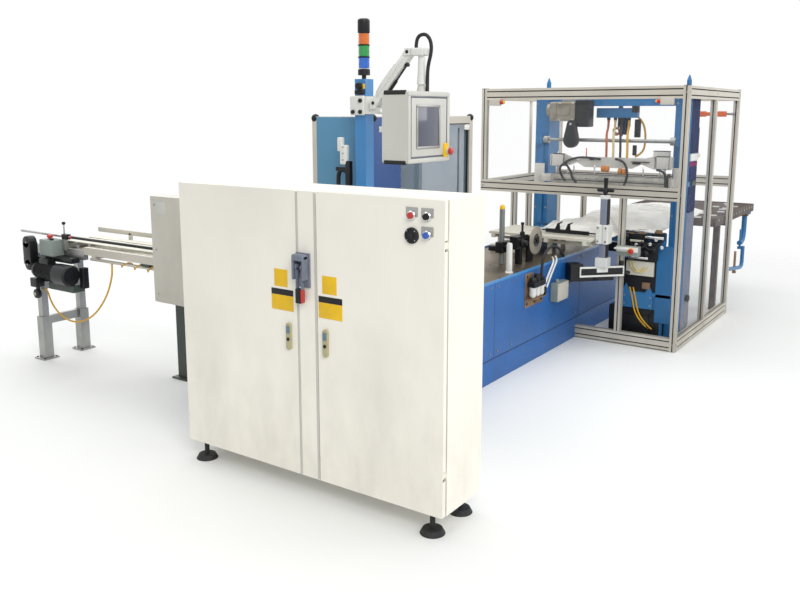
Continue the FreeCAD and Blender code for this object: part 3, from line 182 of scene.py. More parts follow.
def wire(tree, *links):
    """Links, each a node with its output and a node with its input."""
    for source, output, target, taken in links:
        tree.links.new(source.outputs[output], target.inputs[taken])


COLOUR, NUMBER = "NodeSocketColor", "NodeSocketFloat"


def object_noise(tree, stretch=(1, 1, 1), detail=5.0, rough=0.55):
    """Noise in object space, stretched along an axis; its scale is left to be wired."""
    place = add(tree, "ShaderNodeTexCoord")
    mapping = add(tree, "ShaderNodeMapping", {"Scale": stretch})
    cloud = add(tree, "ShaderNodeTexNoise", {"Detail": detail, "Roughness": rough})
    wire(tree, (place, "Object", mapping, "Vector"), (mapping, "Vector", cloud, "Vector"))
    return cloud


def uneven_coat():
    """Slow changes of shade over a coat, with a roughness that follows a finer noise."""
    tree, given, out = tree_of("Uneven Coat", [("Colour", COLOUR, (0.5, 0.5, 0.5, 1)),
        ("Shade", COLOUR, (0.4, 0.4, 0.4, 1)), ("Scale", NUMBER, 3.0), ("Low", NUMBER, 0.42),
        ("High", NUMBER, 0.66), ("Roughness", NUMBER, 0.5), ("Variation", NUMBER, 0.1)],
        [("Colour", COLOUR), ("Roughness", NUMBER), ("Height", NUMBER)])
    broad = object_noise(tree)
    step = add(tree, "ShaderNodeMapRange")
    mix = add(tree, "ShaderNodeMix", data_type="RGBA")
    fine = object_noise(tree, detail=3.0)
    faster = add(tree, "ShaderNodeMath", {1: 14.0}, operation="MULTIPLY")
    centred = add(tree, "ShaderNodeMath", {1: 0.5}, operation="SUBTRACT")
    spread = add(tree, "ShaderNodeMath", operation="MULTIPLY")
    total = add(tree, "ShaderNodeMath", operation="ADD", use_clamp=True)
    wire(tree, (given, "Scale", broad, "Scale"), (given, "Scale", faster, 0), (faster, 0, fine, "Scale"),
        (broad, "Fac", step, "Value"), (given, "Low", step, "From Min"), (given, "High", step, "From Max"),
        (step, "Result", mix, "Factor"), (given, "Colour", mix, "A"), (given, "Shade", mix, "B"),
        (mix, "Result", out, "Colour"), (fine, "Fac", centred, 0), (centred, 0, spread, 0),
        (given, "Variation", spread, 1), (spread, 0, total, 0), (given, "Roughness", total, 1),
        (total, 0, out, "Roughness"), (fine, "Fac", out, "Height"))
    return tree


def floor_grime():
    """Dirt that thickens towards the floor and gathers in patches."""
    tree, given, out = tree_of("Floor Grime", [("Colour", COLOUR, (0.5, 0.5, 0.5, 1)),
        ("Dirt", COLOUR, (0.1, 0.08, 0.06, 1)), ("Reach", NUMBER, 0.6), ("Amount", NUMBER, 0.3)],
        [("Colour", COLOUR), ("Mask", NUMBER)])
    place = add(tree, "ShaderNodeTexCoord")
    split = add(tree, "ShaderNodeSeparateXYZ")
    fade = add(tree, "ShaderNodeMapRange", {"To Min": 1.0, "To Max": 0.12})
    cloud = object_noise(tree, (1, 1, 0.4), 8.0, 0.65)
    cloud.inputs["Scale"].default_value = 5.0
    patch = add(tree, "ShaderNodeMapRange", {"From Min": 0.38, "From Max": 0.7})
    both = add(tree, "ShaderNodeMath", operation="MULTIPLY")
    scaled = add(tree, "ShaderNodeMath", operation="MULTIPLY", use_clamp=True)
    mix = add(tree, "ShaderNodeMix", data_type="RGBA")
    wire(tree, (place, "Object", split, 0), (split, "Z", fade, "Value"), (given, "Reach", fade, "From Max"),
        (cloud, "Fac", patch, "Value"), (fade, "Result", both, 0), (patch, "Result", both, 1),
        (both, 0, scaled, 0), (given, "Amount", scaled, 1), (scaled, 0, mix, "Factor"),
        (given, "Colour", mix, "A"), (given, "Dirt", mix, "B"), (mix, "Result", out, "Colour"),
        (scaled, 0, out, "Mask"))
    return tree


def rubbed_marks():
    """Scuffs and chips that show what lies under a coat."""
    tree, given, out = tree_of("Rubbed Marks", [("Colour", COLOUR, (0.5, 0.5, 0.5, 1)),
        ("Bare", COLOUR, (0.3, 0.3, 0.3, 1)), ("Scale", NUMBER, 9.0), ("Threshold", NUMBER, 0.68)],
        [("Colour", COLOUR), ("Mask", NUMBER)])
    streak = object_noise(tree, (0.35, 0.35, 1.6), 9.0, 0.7)
    edge = add(tree, "ShaderNodeMath", {1: 0.05}, operation="ADD")
    step = add(tree, "ShaderNodeMapRange")
    mix = add(tree, "ShaderNodeMix", data_type="RGBA")
    wire(tree, (given, "Scale", streak, "Scale"), (streak, "Fac", step, "Value"),
        (given, "Threshold", step, "From Min"), (given, "Threshold", edge, 0), (edge, 0, step, "From Max"),
        (step, "Result", mix, "Factor"), (given, "Colour", mix, "A"), (given, "Bare", mix, "B"),
        (mix, "Result", out, "Colour"), (step, "Result", out, "Mask"))
    return tree


def brushed_grain():
    """Fine lines along one axis, for ground and drawn metal."""
    tree, given, out = tree_of("Brushed Grain", [("Stretch", "NodeSocketVector", (4, 260, 260))],
        [("Height", NUMBER)])
    place = add(tree, "ShaderNodeTexCoord")
    scale = add(tree, "ShaderNodeVectorMath", operation="MULTIPLY")
    cloud = add(tree, "ShaderNodeTexNoise", {"Scale": 1.0, "Detail": 4.0})
    wire(tree, (place, "Object", scale, 0), (given, "Stretch", scale, 1),
        (scale, "Vector", cloud, "Vector"), (cloud, "Fac", out, "Height"))
    return tree


GROUPS = {}
FINISHES = {}


def group(tree, maker):
    """Place a shared effect in a material, building it the first time."""
    if maker.__name__ not in GROUPS:
        GROUPS[maker.__name__] = maker()
    item = tree.nodes.new("ShaderNodeGroup")
    item.node_tree = GROUPS[maker.__name__]
    return item


def rgba(value, factor=1.0):
    return (*[min(1.0, c * factor) for c in value[:3]], 1.0)


def coat(name, tone, shade=0.86, scale=3.0, roughness=0.45, variation=0.12, metallic=0.0, grime=0.2,
        reach=0.7, bare=None, threshold=0.72, marks_scale=9.0, bump=0.04, grain=None, clear=0.0,
        dirt=(0.1, 0.075, 0.05), alpha=1.0, gloss=0.5):
    """A surface of this machine: uneven coat, grime towards the floor, rubbed marks and fine relief."""
    if name in FINISHES:
        return FINISHES[name]
    material = bpy.data.materials.new(name)
    material.use_nodes = True
    tree = material.node_tree
    shader = tree.nodes["Principled BSDF"]
    base = group(tree, uneven_coat)
    for label, number in (("Scale", scale), ("Roughness", roughness), ("Variation", variation)):
        base.inputs[label].default_value = number
    base.inputs["Colour"].default_value = rgba(tone)
    base.inputs["Shade"].default_value = rgba(tone, shade)
    dirty = group(tree, floor_grime)
    dirty.inputs["Dirt"].default_value = rgba(dirt)
    dirty.inputs["Reach"].default_value = reach
    dirty.inputs["Amount"].default_value = grime
    wire(tree, (base, "Colour", dirty, "Colour"), (base, "Roughness", shader, "Roughness"))
    last = dirty.outputs["Colour"]
    if bare is not None:
        marks = group(tree, rubbed_marks)
        marks.inputs["Bare"].default_value = rgba(bare)
        marks.inputs["Scale"].default_value = marks_scale
        marks.inputs["Threshold"].default_value = threshold
        tree.links.new(last, marks.inputs["Colour"])
        last = marks.outputs["Colour"]
    tree.links.new(last, shader.inputs["Base Color"])
    relief = add(tree, "ShaderNodeBump", {"Strength": bump, "Distance": 0.002})
    if grain:
        lines = group(tree, brushed_grain)
        lines.inputs["Stretch"].default_value = grain
        wire(tree, (lines, "Height", relief, "Height"))
    else:
        wire(tree, (base, "Height", relief, "Height"))
    wire(tree, (relief, "Normal", shader, "Normal"))
    shader.inputs["Metallic"].default_value = metallic
    shader.inputs["Coat Weight"].default_value = clear
    shader.inputs["Alpha"].default_value = alpha
    shader.inputs["Specular IOR Level"].default_value = gloss
    FINISHES[name] = material
    return material


def finishes():
    """Every finish of the machine by name, with its own values."""
    tone = colours()
    coat("cabinet cream", tone.cabinet, 0.93, 1.4, 0.42, 0.1, grime=0.22, reach=0.9, bump=0.05)
    coat("side box grey", tone.side_box, 0.9, 2.4, 0.45, 0.1, grime=0.25, reach=1.2, bump=0.05)
    coat("worn blue", tone.bed, 0.84, 2.6, 0.42, 0.2, grime=0.22, reach=0.75, bare=linear("#6F8EA8"),
        threshold=0.68, marks_scale=7.0, bump=0.1, dirt=linear("#3B4A58"))
    coat("portal blue", tone.portal, 0.86, 2.2, 0.4, 0.14, grime=0.2, reach=1.0, bare=linear("#7C98A8"),
        threshold=0.72, bump=0.08, dirt=linear("#33424E"))
    # Navy of the balance sleeve and the valve island; on the right column's outer side the same navy is
    # painted shade.
    coat("navy enamel and painted shade", linear("#1B2A58"), 0.8, 5.0, 0.7, 0.1, grime=0.05, reach=2.2, gloss=0.0)
    # Grey-blue painted shade on the lower part of the right column's outer side; it turns beige towards the
    # bottom.
    coat("column foot painted shade", linear("#6E7A92"), 0.86, 3.0, 0.7, 0.1, grime=0.9, reach=1.3,
        dirt=linear("#A08E74"), bump=0.03, gloss=0.0)
    coat("band purple", linear("#7A2A5C"), 0.86, 9.0, 0.7, 0.1, grime=0.05, reach=2.2, gloss=0.0)
    # Bright blue of the operator post, also the lighter blue of the painted highlight on the bed's rim.
    coat("post blue and rim highlight", tone.post, 0.9, 2.0, 0.3, 0.1, grime=0.1, clear=0.3)
    coat("profile", tone.aluminium, 0.88, 2.0, 0.42, 0.12, 0.45, 0.25, 1.0, grain=(220, 220, 6), bump=0.03)
    coat("ground steel", tone.steel, 0.78, 5.0, 0.34, 0.16, 0.85, 0.2, 1.0, grain=(6, 240, 240), bump=0.05)
    coat("stained table", tone.stainless, 0.6, 4.0, 0.38, 0.25, 0.75, 0.5, 1.6, bare=linear("#4B4234"),
        threshold=0.6, marks_scale=5.0, bump=0.06)
    coat("rusted brown", tone.rust, 0.55, 6.0, 0.7, 0.2, 0.1, 0.5, 1.2, bare=linear("#7A5742"),
        threshold=0.66, bump=0.3)
    coat("belt cream", tone.belt, 0.88, 8.0, 0.75, 0.1, grime=0.3, reach=2.0, grain=(300, 300, 300),
        bump=0.15)
    coat("dark green", tone.green, 0.8, 3.0, 0.5, 0.15, grime=0.4, reach=0.9, bump=0.1)
    coat("machine grey", tone.machine_grey, 0.86, 4.0, 0.5, 0.12, grime=0.3, reach=1.2,
        bare=linear("#5C615C"), bump=0.12)
    coat("motor grey", linear("#7F8583"), 0.84, 5.0, 0.5, 0.12, 0.2, 0.25, 2.4, bump=0.2)
    coat("white enamel", tone.white, 0.93, 3.0, 0.35, 0.1, grime=0.12, reach=2.2, bump=0.03)
    coat("panel grey", tone.panel, 0.93, 2.5, 0.42, 0.1, grime=0.08, reach=2.2, bump=0.04)
    coat("screen", tone.screen, 0.9, 5.0, 0.14, 0.06, grime=0.06, reach=2.4, clear=0.5, bump=0.01)
    # Black of rubber seals, hoses and feet; the same black also paints the shade deep in the profile
    # grooves.
    coat("black rubber and painted shade", tone.black, 0.8, 6.0, 0.7, 0.15, grime=0.25, reach=1.0, dirt=linear("#5A564E"),
        bump=0.15)
    coat("black plastic", tone.black, 1.4, 5.0, 0.42, 0.12, grime=0.1, reach=1.5, dirt=linear("#5A564E"),
        bump=0.06, gloss=0.3)
    coat("black enamel", tone.black, 1.5, 6.0, 0.36, 0.15, grime=0.2, reach=1.0, dirt=linear("#4A463E"),
        bump=0.1, gloss=0.35)
    coat("stop red", tone.red, 0.86, 12.0, 0.3, 0.08, grime=0.05, clear=0.3)
    coat("lamp orange", tone.orange, 0.9, 9.0, 0.25, 0.05, grime=0.0, clear=0.4)
    coat("marker yellow", tone.yellow, 0.88, 8.0, 0.45, 0.1, grime=0.15, reach=1.6)
    coat("button blue", tone.blue_button, 0.86, 12.0, 0.3, 0.05, grime=0.0, clear=0.3)
    # Deep blue: the guard's blue panel darkened by painted shade.
    coat("guard blue with painted shade", linear("#124E94"), 0.86, 2.0, 0.4, 0.1, grime=0.1)
    coat("latch beige", linear("#B8B08C"), 0.86, 12.0, 0.45, 0.1, grime=0.1, bump=0.05)
    coat("latch blue", linear("#5F7F90"), 0.86, 12.0, 0.4, 0.1, grime=0.1, bump=0.05)
    coat("seam grey", linear("#C9C7BE"), 0.92, 6.0, 0.5, 0.1, grime=0.1, bump=0.02)
    coat("switch slate", linear("#6C7280"), 1.25, 9.0, 0.35, 0.1, grime=0.1, bump=0.1)
    coat("column silver", linear("#8A90A2"), 0.86, 5.0, 0.45, 0.1, 0.3, grime=0.1, grain=(220, 220, 6),
        bump=0.03)
    coat("silver plate", linear("#DAD7D0"), 0.82, 7.0, 0.42, 0.14, 0.3, 0.1, 2.2, grain=(6, 200, 200),
        bump=0.04)
    coat("beam silver", linear("#B9B6AE"), 0.72, 9.0, 0.36, 0.16, 0.5, 0.15, 2.2, grain=(6, 30, 260),
        bump=0.06)
    coat("gear grey", linear("#A7A092"), 0.7, 14.0, 0.45, 0.15, 0.25, 0.2, 2.4, bump=0.25)
    coat("chrome", linear("#D8D8D8"), 0.9, 8.0, 0.12, 0.06, 1.0, 0.0)
    coat("lead yellow", linear("#D9A514"), 0.85, 20.0, 0.5, 0.1, grime=0.2, reach=0.8)
    coat("hose orange", linear("#B4571F"), 0.85, 20.0, 0.5, 0.1, grime=0.1)
    coat("hose cream", linear("#DCC98C"), 0.85, 20.0, 0.5, 0.1, grime=0.1)
    coat("copper brown", linear("#94775A"), 0.7, 6.0, 0.5, 0.2, 0.3, 0.4, 1.2, bare=linear("#8A6A50"),
        bump=0.15)
    coat("table cream", linear("#D8D4C4"), 0.88, 3.0, 0.5, 0.12, grime=0.25, reach=1.6)
    coat("amber rubber", linear("#C87A1C"), 0.8, 10.0, 0.5, 0.1, grime=0.1)
    coat("tinted sheet", tone.tint_front, 0.9, 1.0, 0.12, 0.06, grime=0.1, reach=2.4, alpha=0.5, bump=0.01)
    coat("pale sheet", tone.tint_end, 0.95, 1.0, 0.15, 0.06, grime=0.08, reach=2.4, alpha=0.94, bump=0.01)
    coat("clear sheet", linear("#EFF3F5"), 0.97, 1.0, 0.3, 0.04, grime=0.04, reach=2.4, alpha=0.03,
        bump=0.005, gloss=0.1)
    coat("lens blue", linear("#1F66C8"), 0.9, 20.0, 0.22, 0.05, grime=0.0, clear=0.4)
    coat("lens green", linear("#1E9A4A"), 0.9, 20.0, 0.22, 0.05, grime=0.0, clear=0.4)
    coat("lens orange", linear("#E0701C"), 0.9, 20.0, 0.22, 0.05, grime=0.0, clear=0.4)
    coat("stretch film", tone.film, 0.9, 5.0, 0.22, 0.1, grime=0.0, clear=0.5, alpha=0.93, bump=0.1)


FINISH_OF_NODE = {"cabinet cream": ("cabinet_shell", "door_left", "door_right"),
    "side box grey": ("side_box",), "worn blue": ("bed_base",), "portal blue": ("portal_frame", "lower_jaw",
    "exit_bracket"), "post blue and rim highlight": ("operator_post",), "profile": ("frame_posts", "frame_long_rails",
    "frame_cross_rails", "frame_mid_posts", "guard_posts", "guard_rails", "infeed_rails"),
    "ground steel": ("infeed_rollers", "infeed_stand", "infeed_guides", "line_shaft", "spreader_disc",
    "guide_column"), "silver plate": ("sealing_head",), "stained table": ("bed_top",),
    "rusted brown": ("exit_table",), "belt cream": ("infeed_belts", "bed_tracks"),
    "dark green": ("infeed_leg",), "machine grey": ("control_boxes", "infeed_control", "frame_switches"),
    "switch slate": ("switch_housing",), "motor grey": ("portal_drive",),
    "white enamel": ("arm_clamp", "arm_turret", "spring_arm", "arm_elbow", "film_posts", "transfer_unit"),
    "panel grey": ("panel_box",), "latch beige": ("door_left_latch", "door_right_latch"),
    "black rubber and painted shade": ("cabinet_feet",), "black plastic": ("cabinet_buttons", "signal_tower",
    "portal_belt_guard", "switch_handle"), "black enamel": ("disc_bracket", "hook_bar", "guide_arm",
    "side_rail", "infeed_drive"), "copper brown": ("regulator",), "table cream": ("film_table",),
    "tinted sheet": ("guard_panels",), "clear sheet": ("frame_panels",),}


# Mesh helpers

def block(bm, low, high, soft=0.0, steps=2):
    """A block between two corners, its edges rounded by soft."""
    low, high = Vector(low), Vector(high)
    made = bmesh.ops.create_cube(bm, size=1.0)["verts"]
    size, middle = high - low, (high + low) / 2
    for vert in made:
        vert.co = Vector(a * b for a, b in zip(vert.co, size)) + middle
    if soft:
        edges = list({edge for vert in made for edge in vert.link_edges})
        bmesh.ops.bevel(bm, geom=edges, offset=min(soft, 0.49 * min(size)), segments=steps, profile=0.6,
            affect="EDGES")


def turned(bm, profile, origin, axis, sides=40):
    """A turned piece: (radius, height) pairs swept round an axis from an origin, closed at its ends."""
    axis, origin = Vector(axis).normalized(), Vector(origin)
    turn = axis.to_track_quat("Z", "Y").to_matrix()
    rings = []
    for radius, height in profile:
        if radius < 1e-6:
            rings.append([bm.verts.new(origin + turn @ Vector((0, 0, height)))])
            continue
        rings.append([bm.verts.new(origin + turn @ Vector((radius * math.cos(a), radius * math.sin(a),
            height))) for a in (2 * math.pi * i / sides for i in range(sides))])
    for low, high in zip(rings, rings[1:]):
        for i in range(sides):
            j = (i + 1) % sides
            if len(low) == 1:
                bm.faces.new((low[0], high[j], high[i]))
            elif len(high) == 1:
                bm.faces.new((low[i], low[j], high[0]))
            else:
                bm.faces.new((low[i], low[j], high[j], high[i]))
    for ring, flip in ((rings[0], True), (rings[-1], False)):
        if len(ring) > 1:
            bm.faces.new(ring[::-1] if flip else ring)


def prism(bm, outlines):
    """A closed body between two outlines with the same number of points."""
    one, two = [[bm.verts.new(point) for point in outline] for outline in outlines]
    for i in range(len(one)):
        j = (i + 1) % len(one)
        bm.faces.new((one[i], one[j], two[j], two[i]))
    bm.faces.new(one[::-1])
    bm.faces.new(two)


def ring_bars(low, high, wide, tall):
    """Corners of the two lying and two standing bars of a flat frame."""
    (a, c), (b, d) = low, high
    return (((a, c), (b, c + tall)), ((a, d - tall), (b, d)), ((a, c + tall), (a + wide, d - tall)),
        ((b - wide, c + tall), (b, d - tall)))


def disc_rod(bm, start, end, radius, soft=0.0, sides=32):
    """A round bar between two points, its rims eased by soft."""
    start, end = Vector(start), Vector(end)
    reach = (end - start).length
    ease = min(soft, radius * 0.5, reach * 0.4)
    profile = [(radius, 0.0), (radius, reach)]
    if ease:
        profile = [(radius - ease, 0.0), (radius - 0.3 * ease, 0.3 * ease), (radius, ease),
            (radius, reach - ease), (radius - 0.3 * ease, reach - 0.3 * ease), (radius - ease, reach)]
    turned(bm, profile, start, end - start, sides)


def along(points):
    """Tangents of a path of points."""
    ends = [points[0], *points, points[-1]]
    return [(after - before).normalized() for before, after in zip(ends, ends[2:])]


def hose_skin(bm, points, radius, sides=16):
    """A round hose through points, with an even frame along it."""
    tangents = along(points)
    side = tangents[0].orthogonal().normalized()
    rings = []
    for point, tangent in zip(points, tangents):
        side = (side - tangent * side.dot(tangent)).normalized()
        other = tangent.cross(side)
        rings.append([bm.verts.new(point + radius * (side * math.cos(a) + other * math.sin(a)))
            for a in (2 * math.pi * i / sides for i in range(sides))])
    for low, high in zip(rings, rings[1:]):
        for i in range(sides):
            j = (i + 1) % sides
            bm.faces.new((low[i], low[j], high[j], high[i]))
    bm.faces.new(rings[0][::-1])
    bm.faces.new(rings[-1])


def curve_points(route, resolution=12):
    """Points of the smooth line through a cord's route."""
    curve = route_curve("route_line", route, 0.0, resolution)
    mesh = bpy.data.meshes.new_from_object(curve)
    points = [vert.co.copy() for vert in mesh.vertices]
    bpy.data.meshes.remove(mesh)
    data = curve.data
    bpy.data.objects.remove(curve)
    bpy.data.curves.remove(data)
    return points


def route_curve(name, route, radius, resolution=12):
    """A cord as one open spline whose control points are its route."""
    data = bpy.data.curves.new(name, "CURVE")
    data.dimensions = "3D"
    data.bevel_depth = radius
    data.bevel_resolution = 4
    data.resolution_u = resolution
    data.use_fill_caps = True
    spline = data.splines.new("NURBS")
    spline.points.add(len(route) - 1)
    for point, at in zip(spline.points, route):
        point.co = (*at, 1.0)
    spline.order_u = 3
    spline.use_endpoint_u = True
    item = bpy.data.objects.new(name, data)
    bpy.context.scene.collection.objects.link(item)
    return item


def line_length(points):
    return sum((b - a).length for a, b in zip(points, points[1:]))


def keep(name, bm, finish, body="machine", angle=SMOOTH_ANGLE):
    """Turn a mesh in the making into a piece that rides on a body; a blended one names none."""
    bmesh.ops.recalc_face_normals(bm, faces=bm.faces)
    mesh = bpy.data.meshes.new(name)
    bm.to_mesh(mesh)
    bm.free()
    item = bpy.data.objects.new(name, mesh)
    bpy.context.scene.collection.objects.link(item)
    mesh.materials.append(FINISHES[finish])
    mesh.shade_smooth()
    mesh.set_sharp_from_angle(angle=angle)
    if body:
        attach(item, body)
    return item


def piece(name, finish, slot, *shapes, body="machine", angle=SMOOTH_ANGLE, stands_for=None):
    """A piece built from shapes, each given as its maker and the maker's values."""
    bm = bmesh.new()
    for make, *values in shapes:
        make(bm, *values)
    item = keep(name, bm, finish, body, angle)
    if stands_for:
        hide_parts(stands_for)
    return item


def near(node, axis):
    """Lowest face of a node along an axis, and far the highest."""
    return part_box(node)[0][axis]


def far(node, axis):
    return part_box(node)[1][axis]


# Geometry nodes: what repeats

def repeat_tree(name, make_shape, shape_sizes):
    """A tree that puts one small shape on every point of a mesh and turns it to a set angle."""
    tree = bpy.data.node_groups.new(name, "GeometryNodeTree")
    tree.interface.new_socket("Points", in_out="INPUT", socket_type="NodeSocketGeometry")
    for label, default in shape_sizes:
        socket = tree.interface.new_socket(label, in_out="INPUT", socket_type="NodeSocketFloat")
        socket.default_value = default
    tree.interface.new_socket("Turn", in_out="INPUT", socket_type="NodeSocketVector")
    tree.interface.new_socket("Finish", in_out="INPUT", socket_type="NodeSocketMaterial")
    tree.interface.new_socket("Pieces", in_out="OUTPUT", socket_type="NodeSocketGeometry")
    given, out = tree.nodes.new("NodeGroupInput"), tree.nodes.new("NodeGroupOutput")
    shape = make_shape(tree, given)
    spread = tree.nodes.new("GeometryNodeInstanceOnPoints")
    real = tree.nodes.new("GeometryNodeRealizeInstances")
    paint = tree.nodes.new("GeometryNodeSetMaterial")
    tree.links.new(shape, spread.inputs["Instance"])
    wire(tree, (given, "Points", spread, "Points"), (given, "Turn", spread, "Rotation"),
        (spread, "Instances", real, "Geometry"), (real, "Geometry", paint, "Geometry"),
        (given, "Finish", paint, "Material"), (paint, "Geometry", out, "Pieces"))
    return tree


def screw_shape(tree, given):
    """A low screw head with a socket in it."""
    head = add(tree, "GeometryNodeMeshCylinder", {"Vertices": 20})
    hole = add(tree, "GeometryNodeMeshCylinder", {"Vertices": 6})
    half = add(tree, "ShaderNodeMath", {1: 0.5}, operation="MULTIPLY")
    lift = add(tree, "ShaderNodeCombineXYZ")
    raised = add(tree, "GeometryNodeTransform")
    sunk = add(tree, "GeometryNodeMeshBoolean", operation="DIFFERENCE")
    wire(tree, (given, "Radius", head, "Radius"), (given, "Height", head, "Depth"),
        (given, "Radius", half, 0), (half, 0, hole, "Radius"), (given, "Height", hole, "Depth"),
        (given, "Height", lift, "Z"), (hole, "Mesh", raised, "Geometry"),
        (lift, "Vector", raised, "Translation"), (head, "Mesh", sunk, "Mesh 1"),
        (raised, "Geometry", sunk, "Mesh 2"))
    return sunk.outputs["Mesh"]


def ball_shape(tree, given):
    """A moulded corner ball."""
    ball = add(tree, "GeometryNodeMeshUVSphere", {"Segments": 20, "Rings": 12})
    wire(tree, (given, "Radius", ball, "Radius"))
    return ball.outputs["Mesh"]


def ring_shape(tree, given):
    """A thin fin round a motor or a lens."""
    ring = add(tree, "GeometryNodeMeshCylinder", {"Vertices": 40})
    wire(tree, (given, "Radius", ring, "Radius"), (given, "Height", ring, "Depth"))
    return ring.outputs["Mesh"]


REPEATS = {
    "screws": (screw_shape, (("Radius", 0.006), ("Height", 0.006))),
    "balls": (ball_shape, (("Radius", 0.02),)),
    "rings": (ring_shape, (("Radius", 0.03), ("Height", 0.003))),
}
TREES = {}


def repeated(name, kind, spots, turn, finish, slot, body="machine", **shape_sizes):
    """One shape on every spot, as a plain mesh that rides on a body."""
    if kind not in TREES:
        TREES[kind] = repeat_tree(kind, *REPEATS[kind])
    tree = TREES[kind]
    mesh = bpy.data.meshes.new(name)
    mesh.from_pydata([tuple(spot) for spot in spots], [], [])
    carrier = bpy.data.objects.new(name + "_points", mesh)
    bpy.context.scene.collection.objects.link(carrier)
    maker = carrier.modifiers.new(kind, "NODES")
    maker.node_group = tree
    sockets = {item.name: item.identifier for item in tree.interface.items_tree if item.in_out == "INPUT"}
    for label, setting in shape_sizes.items():
        maker[sockets[label.title()]] = setting
    maker[sockets["Turn"]] = turn
    maker[sockets["Finish"]] = FINISHES[finish]
    ready = carrier.evaluated_get(bpy.context.evaluated_depsgraph_get())
    plain = bpy.data.meshes.new_from_object(ready)
    plain.name = name
    bpy.data.objects.remove(carrier)
    item = bpy.data.objects.new(name, plain)
    bpy.context.scene.collection.objects.link(item)
    plain.shade_smooth()
    plain.set_sharp_from_angle(angle=SMOOTH_ANGLE)
    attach(item, body)
    return item


ALONG_X, ALONG_Y, ALONG_Z = (0, -math.pi / 2, 0), (math.pi / 2, 0, 0), (0, 0, 0)
FACES_INFEED = (0, -math.pi / 2, 0)


def hose(name, route, radius, finish, body="machine", resolution=12):
    """A fixed hose or lead, bedded on what holds it."""
    bm = bmesh.new()
    hose_skin(bm, curve_points([Vector(p) for p in route], resolution), radius)
    return keep(name, bm, finish, body, 1.2)


class LINE_OT_cabinet(bpy.types.Operator):
    """Seals, plates, pillar edges and latches of the control cabinet"""
    bl_idname = "line.cabinet"
    bl_label = "Cabinet"

    def execute(self, context):
        front, back = near("door_left", 0), far("door_left", 0)
        for side, (low, high) in {"left": (near("door_left", 1), far("door_left", 1)),
                "right": (near("door_right", 1), far("door_right", 1))}.items():
            self.seal(side, low + 0.014, high - 0.014, back - 0.0005)
        self.plate("left", front, (-0.379, 1.017), (-0.386, 0.918))
        self.plate("right", front, (-0.661, 1.014), (-0.665, 0.914))
        bm = bmesh.new()
        for y in (-0.487, -0.589):
            block(bm, (front - 0.0004, y, 0.104), (front + 0.0006, y + 0.012, 1.412))
        keep("pillar_edges", bm, "seam grey")
        self.latch("left", near("door_left_latch", 1), far("door_left_latch", 1))
        self.latch("right", near("door_right_latch", 1), far("door_right_latch", 1))
        return {"FINISHED"}

    def seal(self, side, low, high, x):
        """The rubber strip round the back of a door."""
        wide, bottom, top = 0.01, near("door_left", 2) + 0.006, far("door_left", 2) - 0.006
        bm = bmesh.new()
        for corner, end in ring_bars((low, bottom), (high, top), wide, wide):
            block(bm, (x, *corner), (x + 0.009, *end), 0.002)
        keep(f"cabinet_seal_{side}", bm, "black rubber and painted shade", f"door_{side}")

    def plate(self, side, front, small, wide):
        """Two bare yellow plates; the lower one has a plain dark band along its top."""
        thick = 0.0012
        (y, z), (wy, wz) = small, wide
        piece(f"plate_{side}", "marker yellow", "cabinet_paint",
            (block, (front - thick, y - 0.04, z - 0.04), (front, y + 0.04, z + 0.04), 0.0006),
            (block, (front - thick, wy - 0.066, wz - 0.05), (front, wy + 0.066, wz + 0.02), 0.0006),
            body=f"door_{side}")
        piece(f"plate_band_{side}", "black plastic", "cabinet_paint",
            (block, (front - thick, wy - 0.066, wz + 0.0205), (front, wy + 0.066, wz + 0.048), 0.0006),
            body=f"door_{side}")

    def latch(self, side, low, high):
        """The pressed frame, the swing handle and the lock of a door latch."""
        front, middle = near("door_left_latch", 0), (low + high) / 2
        bottom, top = near("door_left_latch", 2), far("door_left_latch", 2)
        piece(f"latch_handle_{side}", "latch blue", "latch_grey",
            (block, (front - 0.004, middle - 0.009, top - 0.048),
            (front + 0.001, middle + 0.009, top - 0.014), 0.003, 3), body=f"door_{side}")
        piece(f"latch_lock_{side}", "black plastic", "latch_grey",
            (disc_rod, (front - 0.0045, middle, bottom + 0.05), (front + 0.001, middle, bottom + 0.05),
            0.0075, 0.001), body=f"door_{side}")


class LINE_OT_buttons(bpy.types.Operator):
    """Legend plates, push buttons and the round socket on the right door"""
    bl_idname = "line.buttons"
    bl_label = "Buttons"

    def execute(self, context):
        front = far("cabinet_buttons", 0)
        first, second = -1.09, -1.163
        spots = ((first, 1.364, "stop red"), (second, 1.364, "black plastic"),
            (second, 1.29, "button blue"))
        bm = bmesh.new()
        for y, z, _ in spots:
            block(bm, (front - 0.003, y - 0.028, z - 0.019), (front, y + 0.028, z + 0.019), 0.001)
        keep("legend_plates", bm, "ground steel", "door_right")
        bm = bmesh.new()
        for y, z, _ in spots:
            turned(bm, [(0.019, 0), (0.019, 0.006), (0.016, 0.009), (0.0145, 0.009)],
                (front - 0.003, y, z - 0.014), (-1, 0, 0))
        keep("button_collars", bm, "chrome", "door_right")
        for number, (y, z, finish) in enumerate(spots):
            piece(f"button_cap_{number}", finish, "black_plastic",
                (turned, [(0.0135, 0), (0.0135, 0.012), (0.0125, 0.015), (0.006, 0.0165), (0, 0.017)],
                (front - 0.005, y, z - 0.014), (-1, 0, 0)), body="door_right")
        bm = bmesh.new()
        z = 1.269
        turned(bm, [(0.033, 0), (0.033, 0.006), (0.03, 0.01), (0.026, 0.01), (0.024, 0.004), (0.01, 0.004),
            (0.009, 0.008), (0, 0.008)], (front, first, z), (-1, 0, 0), 48)
        socket = keep("round_socket", bm, "black rubber and painted shade", "door_right")
        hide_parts("cabinet_buttons")
        repeated("socket_screws", "screws",
            [(front - 0.01, first + 0.027 * math.cos(a), z + 0.027 * math.sin(a))
            for a in (0.8, 2.35, 3.9, 5.5)], FACES_INFEED, "chrome", "black_plastic", "door_right",
            radius=0.0022, height=0.002)
        return {"FINISHED"}


